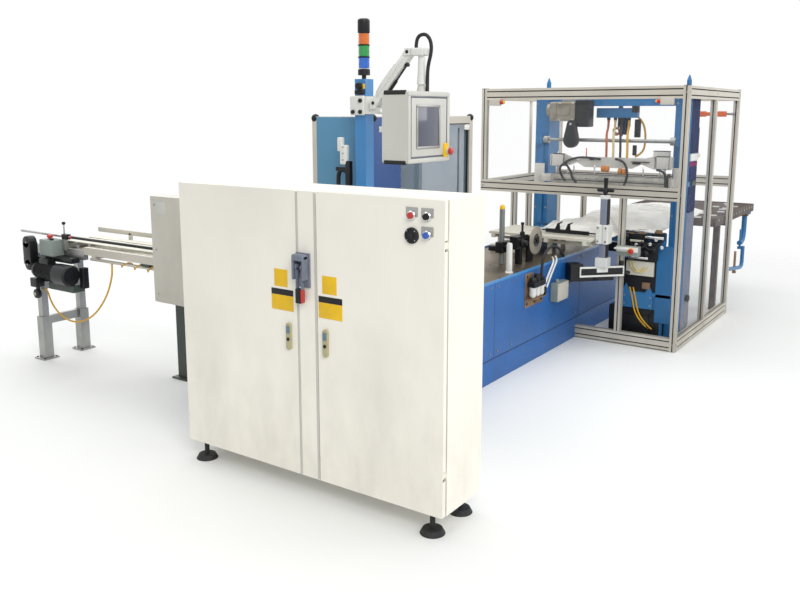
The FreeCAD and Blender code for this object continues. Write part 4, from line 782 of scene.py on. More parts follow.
class LINE_OT_switch(bpy.types.Operator):
    """The main switch: housing face, forked lever and its two-tone grip"""
    bl_idname = "line.switch"
    bl_label = "Main switch"

    def execute(self, context):
        low, high = (Vector(corner) + Vector((0, 0.016, 0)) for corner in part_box("switch_handle"))
        middle = (low[1] + high[1]) / 2
        bm = bmesh.new()
        block(bm, (-2.798, middle - 0.04, 0.992), (-2.789, middle + 0.04, 1.145), 0.003, 3)
        for side in (-1, 1):
            cheek = middle + side * 0.029
            block(bm, (-2.834, cheek - 0.005, 1.028), (-2.796, cheek + 0.005, 1.138), 0.0045, 4)
        block(bm, (-2.836, middle - 0.034, 1.112), (-2.796, middle + 0.034, 1.142), 0.01, 4)
        housing = keep("switch_body", bm, "switch slate")
        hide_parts("switch_housing")
        pivot = Vector((-2.817, middle, 1.085))
        bm = bmesh.new()
        for side in (-1, 1):
            inner, outer = middle + side * 0.0125, middle + side * 0.0182
            low_y, high_y = min(inner, outer), max(inner, outer)
            block(bm, (pivot.x - 0.009, low_y, low[2] + 0.02), (pivot.x + 0.009, high_y, pivot.z + 0.002),
                0.0025)
            disc_rod(bm, (pivot.x, low_y, pivot.z), (pivot.x, high_y, pivot.z), 0.015, 0.002)
            disc_rod(bm, (pivot.x, low_y - 0.001, pivot.z), (pivot.x, high_y + 0.001, pivot.z), 0.006,
                0.001)
        lever = keep("switch_lever", bm, "switch slate", "switch_handle")
        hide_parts("switch_handle")
        grip_top = low[2] + 0.066
        bm = bmesh.new()
        block(bm, (pivot.x - 0.013, low[1] + 0.0055, low[2]), (pivot.x + 0.013, high[1], grip_top), 0.005,
            3)
        for step in range(4):
            z = low[2] + 0.012 + 0.012 * step
            block(bm, (pivot.x - 0.0142, low[1] + 0.01, z), (pivot.x - 0.012, high[1] - 0.006, z + 0.005),
                0.001)
        keep("switch_grip", bm, "black plastic", "switch_handle")
        piece("switch_grip_face", "stop red", "black_plastic",
            (block, (pivot.x - 0.012, low[1], low[2] + 0.003),
            (pivot.x + 0.012, low[1] + 0.0065, grip_top - 0.003), 0.0025, 3), body="switch_handle")
        corners = [(-2.797, middle + y, z) for y in (-0.033, 0.033) for z in (0.999, 1.136)]
        repeated("switch_screws", "screws", [Vector(c) - Vector((0.001, 0, 0)) for c in corners],
            FACES_INFEED, "ground steel", "switch_grey", radius=0.004, height=0.003)
        return {"FINISHED"}


class LINE_OT_side_box(bpy.types.Operator):
    """The bare plate, the cover seam and the screws of the box on the infeed"""
    bl_idname = "line.side_box"
    bl_label = "Side box"

    def execute(self, context):
        low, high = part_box("side_box")
        x = low[0]
        piece("side_box_plate", "panel grey", "box_paint",
            (block, (x - 0.0012, high[1] - 0.135, high[2] - 0.105), (x, high[1] - 0.045, high[2] - 0.03),
            0.0006))
        bm = bmesh.new()
        seam, rim = 0.004, 0.02
        for a, b in (((low[1] + rim, low[2] + rim), (high[1] - rim, low[2] + rim + seam)),
                ((low[1] + rim, high[2] - rim - seam), (high[1] - rim, high[2] - rim)),
                ((low[1] + rim, low[2] + rim), (low[1] + rim + seam, high[2] - rim)),
                ((high[1] - rim - seam, low[2] + rim), (high[1] - rim, high[2] - rim))):
            block(bm, (x - 0.0004, *a), (x + 0.0004, *b))
        keep("side_box_seam", bm, "seam grey")
        spots = [(x - 0.001, y, z) for y in (low[1] + 0.035, high[1] - 0.035)
            for z in (low[2] + 0.05, (low[2] + high[2]) / 2, high[2] - 0.05)]
        repeated("side_box_screws", "screws", spots, FACES_INFEED, "ground steel", "box_paint",
            radius=0.006, height=0.003)
        return {"FINISHED"}


class LINE_OT_signal_tower(bpy.types.Operator):
    """The stacked signal lamps with ribbed lenses"""
    bl_idname = "line.signal_tower"
    bl_label = "Signal tower"

    def execute(self, context):
        low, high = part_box("signal_tower")
        x, y = (low[0] + high[0]) / 2, (low[1] + high[1]) / 2
        radius, base, pitch = 0.032, low[2] + 0.02, 0.061
        bm = bmesh.new()
        turned(bm, [(0.012, 0), (0.012, 0.02), (radius, 0.02), (radius, 0.048), (radius - 0.003, 0.052)],
            (x, y, low[2]), (0, 0, 1), 48)
        top = base + 0.032 + 3 * pitch
        turned(bm, [(radius - 0.002, 0), (radius, 0.003), (radius, 0.052), (radius + 0.0005, 0.056),
            (radius - 0.001, 0.068), (radius - 0.01, 0.074), (0, 0.074)], (x, y, top), (0, 0, 1), 48)
        for level in range(1, 3):
            turned(bm, [(radius - 0.0015, 0), (radius, 0.0015), (radius, 0.0045), (radius - 0.0015, 0.006)],
                (x, y, base + 0.032 + level * pitch - 0.003), (0, 0, 1), 48)
        body = keep("tower_housing", bm, "black plastic")
        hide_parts("signal_tower")
        for level, finish in enumerate(("lens blue", "lens green", "lens orange")):
            floor = base + 0.032 + level * pitch + 0.003
            bm = bmesh.new()
            profile = [(radius - 0.004, 0)]
            for rib in range(9):
                profile += [(radius - 0.0022, 0.003 + rib * 0.006), (radius - 0.0034, 0.006 + rib * 0.006)]
            profile.append((radius - 0.004, pitch - 0.006))
            turned(bm, profile, (x, y, floor), (0, 0, 1), 48)
            keep(f"tower_lens_{level}", bm, finish)
        return {"FINISHED"}


class LINE_OT_arm(bpy.types.Operator):
    """Covers, knobs and the gas strut of the spring arm and its clamp"""
    bl_idname = "line.arm"
    bl_label = "Spring arm"

    def execute(self, context):
        low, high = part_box("arm_clamp")
        x = low[0]
        piece("clamp_cover", "white enamel", "arm_white",
            (block, (x - 0.016, low[1] + 0.072, low[2] - 0.006),
            (x + 0.002, high[1] + 0.002, high[2] + 0.004), 0.01, 4))
        bm = bmesh.new()
        for y, z in ((low[1] + 0.092, high[2] - 0.022), (low[1] + 0.092, low[2] + 0.012),
                (low[1] + 0.14, low[2] + 0.012)):
            turned(bm, [(0.01, 0), (0.011, 0.004), (0.01, 0.012), (0.006, 0.015), (0, 0.016)],
                (x - 0.014, y, z), (-1, 0, 0), 24)
        turned(bm, [(0.006, 0), (0.006, 0.012), (0.018, 0.016), (0.02, 0.026), (0.016, 0.034), (0, 0.036)],
            (near("operator_post", 0), -0.222, 1.888), (-1, 0, 0), 28)
        block(bm, (near("operator_post", 0) - 0.022, -0.246, 1.846),
            (near("operator_post", 0), -0.19, 1.868), 0.006, 3)
        keep("clamp_knobs", bm, "black plastic")
        piece("clamp_key", "marker yellow", "arm_white",
            (block, (near("operator_post", 0) - 0.012, -0.246, 1.872),
            (near("operator_post", 0), -0.236, 1.9), 0.003))
        self.beam()
        self.elbow()
        return {"FINISHED"}

    def beam(self):
        """The moulded cover over the beam and the strut below it."""
        start, end = Vector((-1.95, -0.303, 1.8)), Vector((-1.95, -0.516, 2.051))
        run = (end - start).normalized()
        up = Vector((1, 0, 0)).cross(run)
        if up.z < 0:
            up = -up
        bm = bmesh.new()
        sections = [(0.02, 0.018, 0.012), (0.05, 0.028, 0.032), (0.12, 0.0305, 0.038), (0.21, 0.03, 0.036),
            (0.275, 0.028, 0.028), (0.305, 0.02, 0.012)]
        rings = []
        for reach, half, rise in sections:
            middle = start + run * reach + up * 0.002
            ring = []
            for a in (math.pi * i / 12 for i in range(13)):
                across = Vector((half * math.cos(a), 0, 0))
                ring.append(bm.verts.new(middle + across + up * (rise * abs(math.sin(a)) ** 0.7)))
            rings.append(ring)
        for one, two in zip(rings, rings[1:]):
            for i in range(12):
                bm.faces.new((one[i], one[i + 1], two[i + 1], two[i]))
            bm.faces.new((one[0], two[0], two[12], one[12]))
        bm.faces.new(rings[0])
        bm.faces.new(rings[-1][::-1])
        keep("beam_cover", bm, "white enamel", "spring_arm", 0.9)
        bm = bmesh.new()
        first, last = start + run * 0.05 - up * 0.026, start + run * 0.27 - up * 0.026
        disc_rod(bm, first, first + run * 0.12, 0.009, 0.002, 24)
        disc_rod(bm, first + run * 0.12, last, 0.0045, 0.001, 20)
        for spot in (first, last):
            disc_rod(bm, spot - Vector((0.012, 0, 0)), spot + Vector((0.012, 0, 0)), 0.01, 0.002, 24)
            block(bm, spot - Vector((0.006, 0.008, 0)), spot + Vector((0.006, 0.008, 0)) + up * 0.012,
                0.001)
        keep("beam_strut", bm, "black enamel", "spring_arm")

    def elbow(self):
        """The head casting at the elbow and the fork down to the panel."""
        base = near("arm_elbow", 2)
        piece("elbow_casting", "white enamel", "arm_white",
            (block, (-1.984, -0.612, 2.03), (-1.916, -0.545, 2.067), 0.008, 4),
            (turned, [(0.024, 0), (0.02, 0.05), (0.0175, 0.12), (0.0175, 0.15)],
            (-1.95, -0.585, base + 0.03), (0, 0, 1), 32), body="arm_elbow")
        spots = [(-1.9805, y, z) for y, z in ((-0.516, 2.051), (-0.303, 1.8))]
        repeated("elbow_caps", "screws", spots[:1], FACES_INFEED, "black plastic", "arm_white", "arm_elbow",
            radius=0.009, height=0.003)
        repeated("turret_caps", "screws", spots[1:], FACES_INFEED, "black plastic", "arm_white",
            "arm_turret", radius=0.009, height=0.003)


class LINE_OT_panel(bpy.types.Operator):
    """Bezel, screen, gaskets and stop button of the operator panel"""
    bl_idname = "line.panel"
    bl_label = "Operator panel"

    def execute(self, context):
        left, right, front = -2.144, -1.756, -0.63
        bottom, top = 1.503, 1.855
        def ring(name, x0, x1, z0, z1, wide, y0, y1, finish, soft=0.003):
            bm = bmesh.new()
            for a, b in ring_bars((x0, z0), (x1, z1), wide, wide):
                block(bm, (a[0], y0, a[1]), (b[0], y1, b[1]), soft)
            keep(name, bm, finish, "panel")
        ring("panel_frame", left + 0.002, right - 0.002, bottom + 0.002, top - 0.002, 0.022, front - 0.006,
            front + 0.001, "panel grey", 0.004)
        ring("panel_gasket", left + 0.024, right - 0.024, bottom + 0.024, top - 0.024, 0.009, front - 0.003,
            front + 0.007, "screen", 0.002)
        piece("panel_face", "panel grey", "panel_paint",
            (block, (left + 0.033, front - 0.004, bottom + 0.033),
            (right - 0.033, front + 0.006, top - 0.033), 0.003), body="panel")
        ring("panel_bevel", left + 0.072, right - 0.098, bottom + 0.07, top - 0.066, 0.012, front - 0.01,
            front - 0.003, "ground steel", 0.004)
        bm = bmesh.new()
        x0, x1, z0, z1 = left + 0.083, right - 0.109, bottom + 0.081, top - 0.077
        block(bm, (x0, front - 0.0065, z0), (x1, front - 0.003, z1), 0.001)
        keep("panel_screen", bm, "screen", "panel")
        bm = bmesh.new()
        for z0, z1 in ((top - 0.018, top + 0.004), (bottom - 0.004, bottom + 0.016)):
            block(bm, (left - 0.004, front + 0.01, z0), (left + 0.014, front + 0.14, z1), 0.006, 3)
        keep("panel_rims", bm, "black rubber and painted shade", "panel")
        x, z = right - 0.04, bottom + 0.052
        piece("stop_ring", "marker yellow", "panel_paint", (block, (x - 0.022, front - 0.012, z - 0.03),
            (x + 0.022, front - 0.002, z + 0.04), 0.004, 3),
            (turned, [(0.02, 0), (0.02, 0.006), (0.016, 0.009)], (x, front - 0.012, z), (0, -1, 0), 32),
            body="panel")
        piece("stop_head", "stop red", "panel_paint",
            (turned, [(0.011, 0), (0.011, 0.01), (0.018, 0.014), (0.0185, 0.022), (0.015, 0.028),
            (0.007, 0.03), (0, 0.031)], (x, front - 0.018, z), (0, -1, 0), 32), body="panel")
        return {"FINISHED"}


class LINE_OT_guard(bpy.types.Operator):
    """Sheets, corner balls, hinges and seals of the guard housing"""
    bl_idname = "line.guard"
    bl_label = "Guard housing"

    def execute(self, context):
        low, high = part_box("guard_panels")
        x0, y0, z0 = low[0], low[1], TABLE
        x1, y1, top = high
        bar, thick, head, corner = 0.04, 0.005, 0.045, 0.24 * (x1 - x0)
        sheets = (("guard_sheet_front", (x0 + bar, y0 + 0.02, z0 + bar),
            (x1 - bar, y0 + 0.02 + thick, top - head), "tinted sheet"),
            ("guard_sheet_far", (x0 + bar, y1 - 0.025, z0 + bar), (x1 - bar, y1 - 0.02, top - head),
            "tinted sheet"), ("guard_sheet_end", (x0 - 0.003, y0 + 0.002, z0),
            (x0 + 0.002, y1 - 0.034, top - 0.004), "pale sheet"),
            # The deep blue corner plate is the guard's blue panel with painted shade from the operator
            # panel.
            ("guard_corner_shade_plate", (x0 + 0.001, y0 - 0.003, z0), (x0 + corner, y0 + 0.001, top - 0.004),
            "guard blue with painted shade"), ("guard_roof", (x0, y0, top - thick), (x1, y1, top), "panel grey"),)
        for name, a, b, finish in sheets:
            piece(name, finish, "tinted_sheet", (block, a, b, 0.001), stands_for="guard_panels")
        corners = [(x, y, z) for x in (x0 + 0.014, x1 - 0.014) for y in (y0 + 0.014, y1 - 0.014)
            for z in (top - 0.01, z0 + 0.022)]
        repeated("guard_corners", "balls", corners, ALONG_Z, "black plastic", "black_plastic", radius=0.024)
        bm = bmesh.new()
        for x in (x0 + 0.05, x1 - 0.11):
            for z in (top - 0.055, (top + z0) / 2, z0 + 0.066):
                block(bm, (x, y0 - 0.006, z - 0.03), (x + 0.06, y0 + 0.002, z + 0.002), 0.004, 3)
                disc_rod(bm, (x + 0.03, y0 - 0.006, z - 0.032), (x + 0.03, y0 - 0.006, z + 0.004), 0.007,
                    0.002)
        keep("guard_hinges", bm, "white enamel")
        bm = bmesh.new()
        for a, b in (((x0 + bar, z0 + bar), (x1 - bar, z0 + bar + 0.006)),
                ((x0 + bar, top - 0.051), (x1 - bar, top - 0.045)),
                ((x0 + bar, z0 + bar), (x0 + bar + 0.006, top - 0.045)),
                ((x1 - bar - 0.006, z0 + bar), (x1 - bar, top - 0.045))):
            block(bm, (a[0], y0 + 0.01, a[1]), (b[0], y0 + 0.022, b[1]), 0.002)
        keep("guard_seals", bm, "black rubber and painted shade")
        hose("guard_lead", [(x1 - 0.075, y0 + 0.06, top - 0.075), (x1 - 0.078, y0 + 0.06, 1.45),
            (x1 - 0.07, y0 + 0.062, 1.2), (x1 - 0.095, y0 + 0.075, 1.02), (x1 - 0.23, y0 + 0.085, 0.95)],
            0.006, "lead yellow")
        return {"FINISHED"}


class LINE_OT_transfer(bpy.types.Operator):
    """The white transfer head with its black gripper, beside the post"""
    bl_idname = "line.transfer"
    bl_label = "Transfer unit"

    def execute(self, context):
        low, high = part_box("transfer_unit")
        x, y = (low[0] + high[0]) / 2, -0.107
        piece("transfer_head", "white enamel", "white_plastic", (block, (x - 0.012, y - 0.012, low[2]),
            (x + 0.012, y + 0.012, 1.36), 0.003),
            (block, (x - 0.016, y - 0.026, 1.475), (x + 0.016, y + 0.02, high[2] - 0.04), 0.01, 4),
            (block, (x - 0.012, y + 0.004, high[2] - 0.075), (x + 0.012, y + 0.04, high[2]), 0.008, 4),
            stands_for="transfer_unit")
        bm = bmesh.new()
        hose_skin(bm,
            curve_points([Vector((x, y + dy, z)) for dy,
            z in ((-0.03, 1.34), (-0.034, 1.4), (-0.012, 1.445), (0.03, 1.448), (0.046, 1.4),
            (0.04, 1.33))], 10), 0.012, 12)
        block(bm, (x - 0.015, y - 0.046, 1.33), (x + 0.015, y - 0.016, 1.495), 0.004, 3)
        block(bm, (x - 0.013, y - 0.02, 1.44), (x + 0.013, y + 0.052, 1.462), 0.004, 3)
        keep("transfer_gripper", bm, "black enamel")
        repeated("transfer_screws", "screws", [(x - 0.0165, y - 0.004, z) for z in (1.5, 1.535, 1.57)],
            FACES_INFEED, "ground steel", "white_plastic", radius=0.005, height=0.003)
        return {"FINISHED"}


class LINE_OT_bed(bpy.types.Operator):
    """Lighter blue rim strips with a painted highlight, seams and cover screws of the bed"""
    bl_idname = "line.bed"
    bl_label = "Bed"

    def execute(self, context):
        low, high = Vector((-BED_END, BED_NEAR, 0)), Vector((BED_END, BED_FAR, BED_TOP))
        piece("bed_body", "worn blue", "blue_paint",
            (block, (low[0], low[1], BED_SKIRT), (high[0], high[1], TABLE - 0.006), 0.002),
            (block, (low[0] + 0.006, low[1] + 0.006, 0.001), (high[0] - 0.006, high[1] - 0.006, BED_SKIRT),
            0.001), stands_for="bed_base")
        piece("bed_table", "stained table", "stainless",
            (block, (low[0] + 0.002, low[1] + 0.012, TABLE - 0.006),
            (high[0] - 0.002, high[1] - 0.012, TABLE), 0.001), stands_for="bed_top")
        # Lighter blue strips along the top of both long sides: the bed's blue rim, lightened as a painted
        # highlight.
        bm = bmesh.new()
        for y0, y1 in ((low[1] - 0.0006, low[1] + 0.012), (high[1] - 0.012, high[1] + 0.0006)):
            block(bm, (low[0] + 0.001, y0, high[2] - 0.016), (high[0] - 0.001, y1, high[2]), 0.001)
        keep("bed_rim_highlight", bm, "post blue and rim highlight")
        bm = bmesh.new()
        for y, out in ((low[1], -0.0005), (high[1], 0.0005)):
            for x in (-0.85, 0.56):
                block(bm, (x - 0.001, min(y, y + out), BED_SKIRT + 0.006),
                    (x + 0.001, max(y, y + out), high[2] - 0.018))
            block(bm, (low[0] + 0.002, min(y, y + out), BED_SKIRT - 0.001),
                (high[0] - 0.002, max(y, y + out), BED_SKIRT + 0.004))
        keep("bed_seams", bm, "black rubber and painted shade")
        bm = bmesh.new()
        for x in (0.24, 0.48):
            block(bm, (x, -0.06, TABLE), (x + 0.036, 0.19, TABLE + 0.044), 0.002)
            block(bm, (x - 0.002, -0.06, TABLE + 0.044), (x + 0.038, 0.19, TABLE + 0.056), 0.004, 3)
        rails = keep("cross_rails", bm, "belt cream")
        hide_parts("bed_tracks")
        spots = [(x, low[1] - 0.001, z) for x in (-1.95, -1.42, -0.9, -0.8, -0.6, 0.5, 0.61)
            for z in (0.205, 0.64)]
        repeated("bed_screws", "screws", spots, ALONG_Y, "ground steel", "stainless", radius=0.008,
            height=0.004)
        spots = [(x, y, high[2] - 0.0095) for x in (-0.7, -0.45, -0.33, 0.05, 0.17, 0.33, 0.62, 1.1, 1.6)
            for y in (-0.395, -0.12, 0.245)]
        repeated("table_screws", "screws", spots, ALONG_Z, "black enamel", "stainless", radius=0.007,
            height=0.003)
        return {"FINISHED"}


class LINE_OT_fittings(bpy.types.Operator):
    """Sensor post, spreader disc and clamp blocks on the bed"""
    bl_idname = "line.fittings"
    bl_label = "Bed fittings"

    def execute(self, context):
        table = TABLE
        piece("white_post", "white enamel", "white_plastic",
            (turned, [(0.028, 0), (0.028, 0.006), (0.021, 0.012), (0.0195, 0.194), (0.015, 0.206),
            (0, 0.208)], (-0.514, -0.367, table), (0, 0, 1)), stands_for="film_posts")
        bm = bmesh.new()
        reach = 1.07 - table
        turned(bm, [(0.0195, 0), (0.0195, reach)], (-0.213, -0.15, table), (0, 0, 1))
        keep("sensor_post", bm, "motor grey")
        piece("sensor_tip", "marker yellow", "white_plastic",
            (turned, [(0.0197, 0), (0.0195, 0.012), (0.015, 0.026), (0.007, 0.031), (0, 0.032)],
            (-0.213, -0.15, table + reach), (0, 0, 1)))
        piece("sensor_clamp", "black enamel", "black_paint",
            (block, (-0.26, -0.18, table + 0.08), (-0.17, -0.12, table + 0.16), 0.008, 3),
            (turned, [(0.013, 0), (0.013, 0.03), (0.01, 0.034), (0, 0.034)], (-0.23, -0.18, table + 0.125),
            (0, -1, 0), 24), (block, (-0.25, -0.12, table + 0.09), (-0.18, -0.06, table + 0.125), 0.005))
        self.disc()
        return {"FINISHED"}

    def disc(self):
        low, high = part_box("spreader_disc")
        x, z = (low[0] + high[0]) / 2, (low[2] + high[2]) / 2
        piece("disc_blade", "gear grey", "steel",
            (turned, [(0.0145, 0), (0.098, 0), (0.104, 0.0015), (0.105, 0.004), (0.104, 0.0065),
            (0.098, 0.008), (0.0145, 0.008)], (x, -0.332, z), (0, 1, 0), 64), body="spreader_disc",
            stands_for="spreader_disc")
        piece("disc_hub", "black enamel", "steel",
            (turned, [(0.0145, 0), (0.044, 0), (0.046, 0.002), (0.046, 0.004), (0.03, 0.006), (0.03, 0.046),
            (0.0145, 0.048)], (x, -0.3363, z), (0, 1, 0), 48), body="spreader_disc")
        repeated("disc_bolts", "screws", [(x + 0.037 * math.cos(a), -0.3372, z + 0.037 * math.sin(a))
            for a in (math.pi * i / 3 for i in range(6))], ALONG_Y, "chrome", "steel", "spreader_disc",
            radius=0.004, height=0.003)
        piece("hub_knobs", "black plastic", "black_paint",
            (turned, [(0.026, 0), (0.028, 0.004), (0.028, 0.022), (0.02, 0.03), (0.02, 0.05),
            (0.016, 0.054), (0, 0.054)], (-0.19, -0.29, z), (0, -1, 0), 32),
            (turned, [(0.018, 0), (0.018, 0.02), (0.008, 0.026), (0.008, 0.07), (0.013, 0.074),
            (0.013, 0.09), (0, 0.094)], (-0.11, -0.262, z + 0.045), (0, 0, 1), 28),
            (block, (-0.235, -0.296, z - 0.03), (-0.075, -0.288, z + 0.03), 0.004))


RAIL_LOW, RAIL_HIGH = 0.539, 0.618


class LINE_OT_guide(bpy.types.Operator):
    """The slotted rail, the column with its clamp and the T handle"""
    bl_idname = "line.guide"
    bl_label = "Adjustable guide"

    def execute(self, context):
        self.rail()
        self.column()
        piece("guide_bracket", "black enamel", "black_paint", (block, (0.337, -0.665, RAIL_LOW - 0.03),
            (0.397, BED_NEAR, RAIL_LOW), 0.003), (block, (0.307, BED_NEAR - 0.012, RAIL_LOW - 0.07),
            (0.427, BED_NEAR, RAIL_LOW + 0.03), 0.004, 3), stands_for="guide_arm")
        return {"FINISHED"}

    def rail(self):
        """White frame round a dark slot, with a black body behind and below it."""
        turn = Matrix.Translation((0.367, -0.695, 0)) @ Matrix.Rotation(math.radians(-45), 4, "Z")
        low, high = RAIL_LOW, RAIL_HIGH
        half, rim, tall = 0.176, 0.009, 0.014
        bm = bmesh.new()
        for a, b in ring_bars((-half, low), (half, high), rim, tall):
            block(bm, (a[0], 0.0, a[1]), (b[0], 0.014, b[1]), 0.002)
        block(bm, (-0.044, -0.004, low + 0.034), (0.044, 0.02, high + 0.004), 0.004, 3)
        bmesh.ops.transform(bm, matrix=turn, verts=bm.verts)
        frame_piece = keep("guide_rail_frame", bm, "white enamel")
        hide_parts("side_rail")
        bm = bmesh.new()
        block(bm, (-half + rim, 0.006, low + tall), (half - rim, 0.03, high - tall), 0.002)
        block(bm, (-half + 0.004, 0.014, low), (half - 0.004, 0.03, high), 0.003)
        block(bm, (-half - 0.07, 0.014, low - 0.03), (-half + 0.034, 0.12, high + 0.02), 0.01, 3)
        block(bm, (-half - 0.03, 0.02, low - 0.034), (half * 0.6, 0.056, low + 0.004), 0.008, 3)
        block(bm, (half - 0.01, 0.006, low + 0.012), (half + 0.052, 0.05, low + 0.034), 0.005, 3)
        block(bm, (half - 0.02, 0.034, low + 0.02), (half + 0.014, 0.09, high + 0.034), 0.01, 3)
        bmesh.ops.transform(bm, matrix=turn, verts=bm.verts)
        keep("guide_rail_body", bm, "black enamel")

    def column(self):
        x, y = 0.367, -0.695
        foot, top, half = RAIL_HIGH, 1.14, 0.026
        clamp, clamp_top = 0.79, 0.935
        piece("guide_post", "column silver", "aluminium", (block, (x - half, y - half, foot + 0.066),
            (x + half, y + half, top), 0.002), stands_for="guide_column")
        bm = bmesh.new()
        for side in (-1, 1):
            flank = side * (half + 0.0002)
            block(bm, (x - 0.004, y + flank - 0.0006, foot + 0.07),
                (x + 0.004, y + flank + 0.0006, top - 0.002))
        block(bm, (x - half, y - half - 0.006, foot + 0.072), (x + half, y - half, clamp - 0.002), 0.002)
        block(bm, (x - half, y - half - 0.006, clamp_top + 0.002), (x + half, y - half, top - 0.018), 0.002)
        keep("guide_slots", bm, "black rubber and painted shade")
        piece("guide_clamp", "white enamel", "aluminium",
            (block, (x - 0.045, y - 0.045, foot), (x + 0.045, y + 0.045, foot + 0.07), 0.006, 3),
            (block, (x - 0.048, y - 0.048, clamp), (x + 0.048, y - 0.003, clamp_top), 0.014, 5),
            (block, (x - 0.048, y + 0.003, clamp), (x + 0.048, y + 0.048, clamp_top), 0.014, 5),
            (block, (x - 0.044, y - 0.004, clamp + 0.004),
            (x - half - 0.001, y + 0.004, clamp_top - 0.004)),
            (block, (x - half - 0.003, y - half - 0.003, top - 0.016),
            (x + half + 0.003, y + half + 0.003, top + 0.012), 0.005, 3))
        repeated("guide_screws", "screws", [(x - 0.049, y + dy, z) for dy in (-0.03, 0.03)
            for z in (0.812, 0.913)], FACES_INFEED, "black plastic", "aluminium", radius=0.006,
            height=0.004)
        piece("guide_handle", "black plastic", "black_paint",
            (turned, [(0.012, 0), (0.012, 0.02), (0.018, 0.026), (0.018, 0.06), (0.014, 0.066),
            (0.0145, 0.072), (0.0145, 0.12), (0.016, 0.124), (0.016, 0.138), (0, 0.14)], (x, y, top),
            (0, 0, 1), 28),
            (turned, [(0, 0), (0.009, 0.002), (0.0135, 0.012), (0.0125, 0.03), (0.0125, 0.1),
            (0.0135, 0.118), (0.009, 0.128), (0, 0.13)], (x, y - 0.065, top + 0.048), (0, 1, 0), 28))


class LINE_OT_bed_side(bpy.types.Operator):
    """Air regulator, junction box, hoses and the stop station on the operator side"""
    bl_idname = "line.bed_side"
    bl_label = "Bed side units"

    def execute(self, context):
        side, start = BED_NEAR, -0.416
        bowls = [start + step for step in (0.05, 0.115, 0.18)]
        piece("regulator_plate", "copper brown", "copper_plate",
            (block, (start, side - 0.004, 0.415), (start + 0.29, side, 0.485), 0.001),
            (block, (start, side - 0.004, 0.485), (start + 0.12, side, 0.655), 0.001),
            (block, (start + 0.004, side - 0.064, 0.478), (start + 0.234, side - 0.004, 0.482), 0.001),
            stands_for="regulator")
        bm = bmesh.new()
        for x in bowls:
            turned(bm, [(0, 0), (0.01, 0.002), (0.018, 0.01), (0.0235, 0.022), (0.0235, 0.074),
                (0.027, 0.08)], (x, side - 0.038, 0.482), (0, 0, 1), 32)
        keep("regulator_bowls", bm, "white enamel")
        bm = bmesh.new()
        block(bm, (bowls[0] - 0.026, side - 0.066, 0.56), (bowls[-1] + 0.026, side - 0.01, 0.598), 0.006, 3)
        for x, rise in zip(bowls, (0.03, 0.05, 0.022)):
            turned(bm, [(0.023, 0), (0.025, 0.004), (0.025, 0.02), (0.019, rise), (0, rise + 0.002)],
                (x, side - 0.038, 0.598), (0, 0, 1), 24)
        block(bm, (start + 0.204, side - 0.062, 0.484), (start + 0.226, side - 0.004, 0.54), 0.006, 3)
        keep("regulator_head", bm, "black plastic")
        repeated("regulator_screws", "screws",
            [(start + x, side - 0.005, z) for x, z in ((0.03, 0.44), (0.15, 0.44), (0.26, 0.44),
            (0.03, 0.635))], ALONG_Y, "black enamel", "copper_plate", radius=0.01, height=0.004)
        x0, x1, z0, z1 = 0.008, 0.198, 0.384, 0.522
        piece("small_boxes", "machine grey", "box_grey", (block, (x0, side - 0.06, z0), (x1, side, z1),
            0.008, 4), (disc_rod, (x0 + 0.052, side - 0.03, z1 - 0.002),
            (x0 + 0.052, side - 0.03, z1 + 0.024), 0.014, 0.002, 24),
            (block, (0.46, -0.93, 0.7), (0.515, -0.756, 0.77), 0.006, 4), stands_for="control_boxes")
        piece("junction_cover", "side box grey", "box_grey", (block, (x0 + 0.004, side - 0.064, z0 + 0.004),
            (x1 - 0.004, side - 0.058, z1 - 0.004), 0.003, 3))
        repeated("junction_screws", "screws", [(x, side - 0.0645, z) for x in (x0 + 0.016, x1 - 0.016)
            for z in (z0 + 0.016, z1 - 0.016)], ALONG_Y, "ground steel", "box_grey", radius=0.005,
            height=0.003)
        self.hoses(side)
        self.station()
        return {"FINISHED"}

    def hoses(self, side):
        y = side - 0.036
        hose("side_air_hose", [(-0.23, y, 0.6), (-0.225, y, 0.7), (-0.18, y, 0.78),
            (-0.06, y + 0.004, 0.812), (0.05, y + 0.01, 0.79), (0.15, y + 0.02, 0.74),
            (0.24, y + 0.04, 0.69)], 0.01, "black rubber and painted shade")
        for number, shift in enumerate((0, 0.055)):
            hose(f"side_white_hose_{number}", [(-0.19 + shift, y, 0.52), (-0.15 + shift, y, 0.57),
                (-0.08 + shift, y, 0.64), (0.0 + shift, y + 0.006, 0.7), (0.06 + shift, y + 0.05, 0.705)],
                0.007, "white enamel")

    def station(self):
        """A sloped stop station on the front post of the enclosure."""
        x, y, z = 0.515, -0.93, 0.7
        piece("station_flap", "white enamel", "box_grey", (block, (x - 0.058, y + 0.004, z + 0.03),
            (x - 0.052, y + 0.166, z + 0.066), 0.002), (block, (x - 0.11, y + 0.06, z + 0.052),
            (x - 0.05, y + 0.168, z + 0.064), 0.004, 3))
        piece("station_ring", "marker yellow", "box_grey",
            (turned, [(0.024, 0), (0.024, 0.008), (0.02, 0.01)], (x - 0.055, y + 0.06, z + 0.04),
            (-1, 0, 0), 32))
        piece("station_head", "stop red", "box_grey",
            (turned, [(0.012, 0), (0.012, 0.012), (0.019, 0.016), (0.02, 0.026), (0.014, 0.034),
            (0, 0.036)], (x - 0.064, y + 0.046, z + 0.04), (-1, 0, 0), 32))


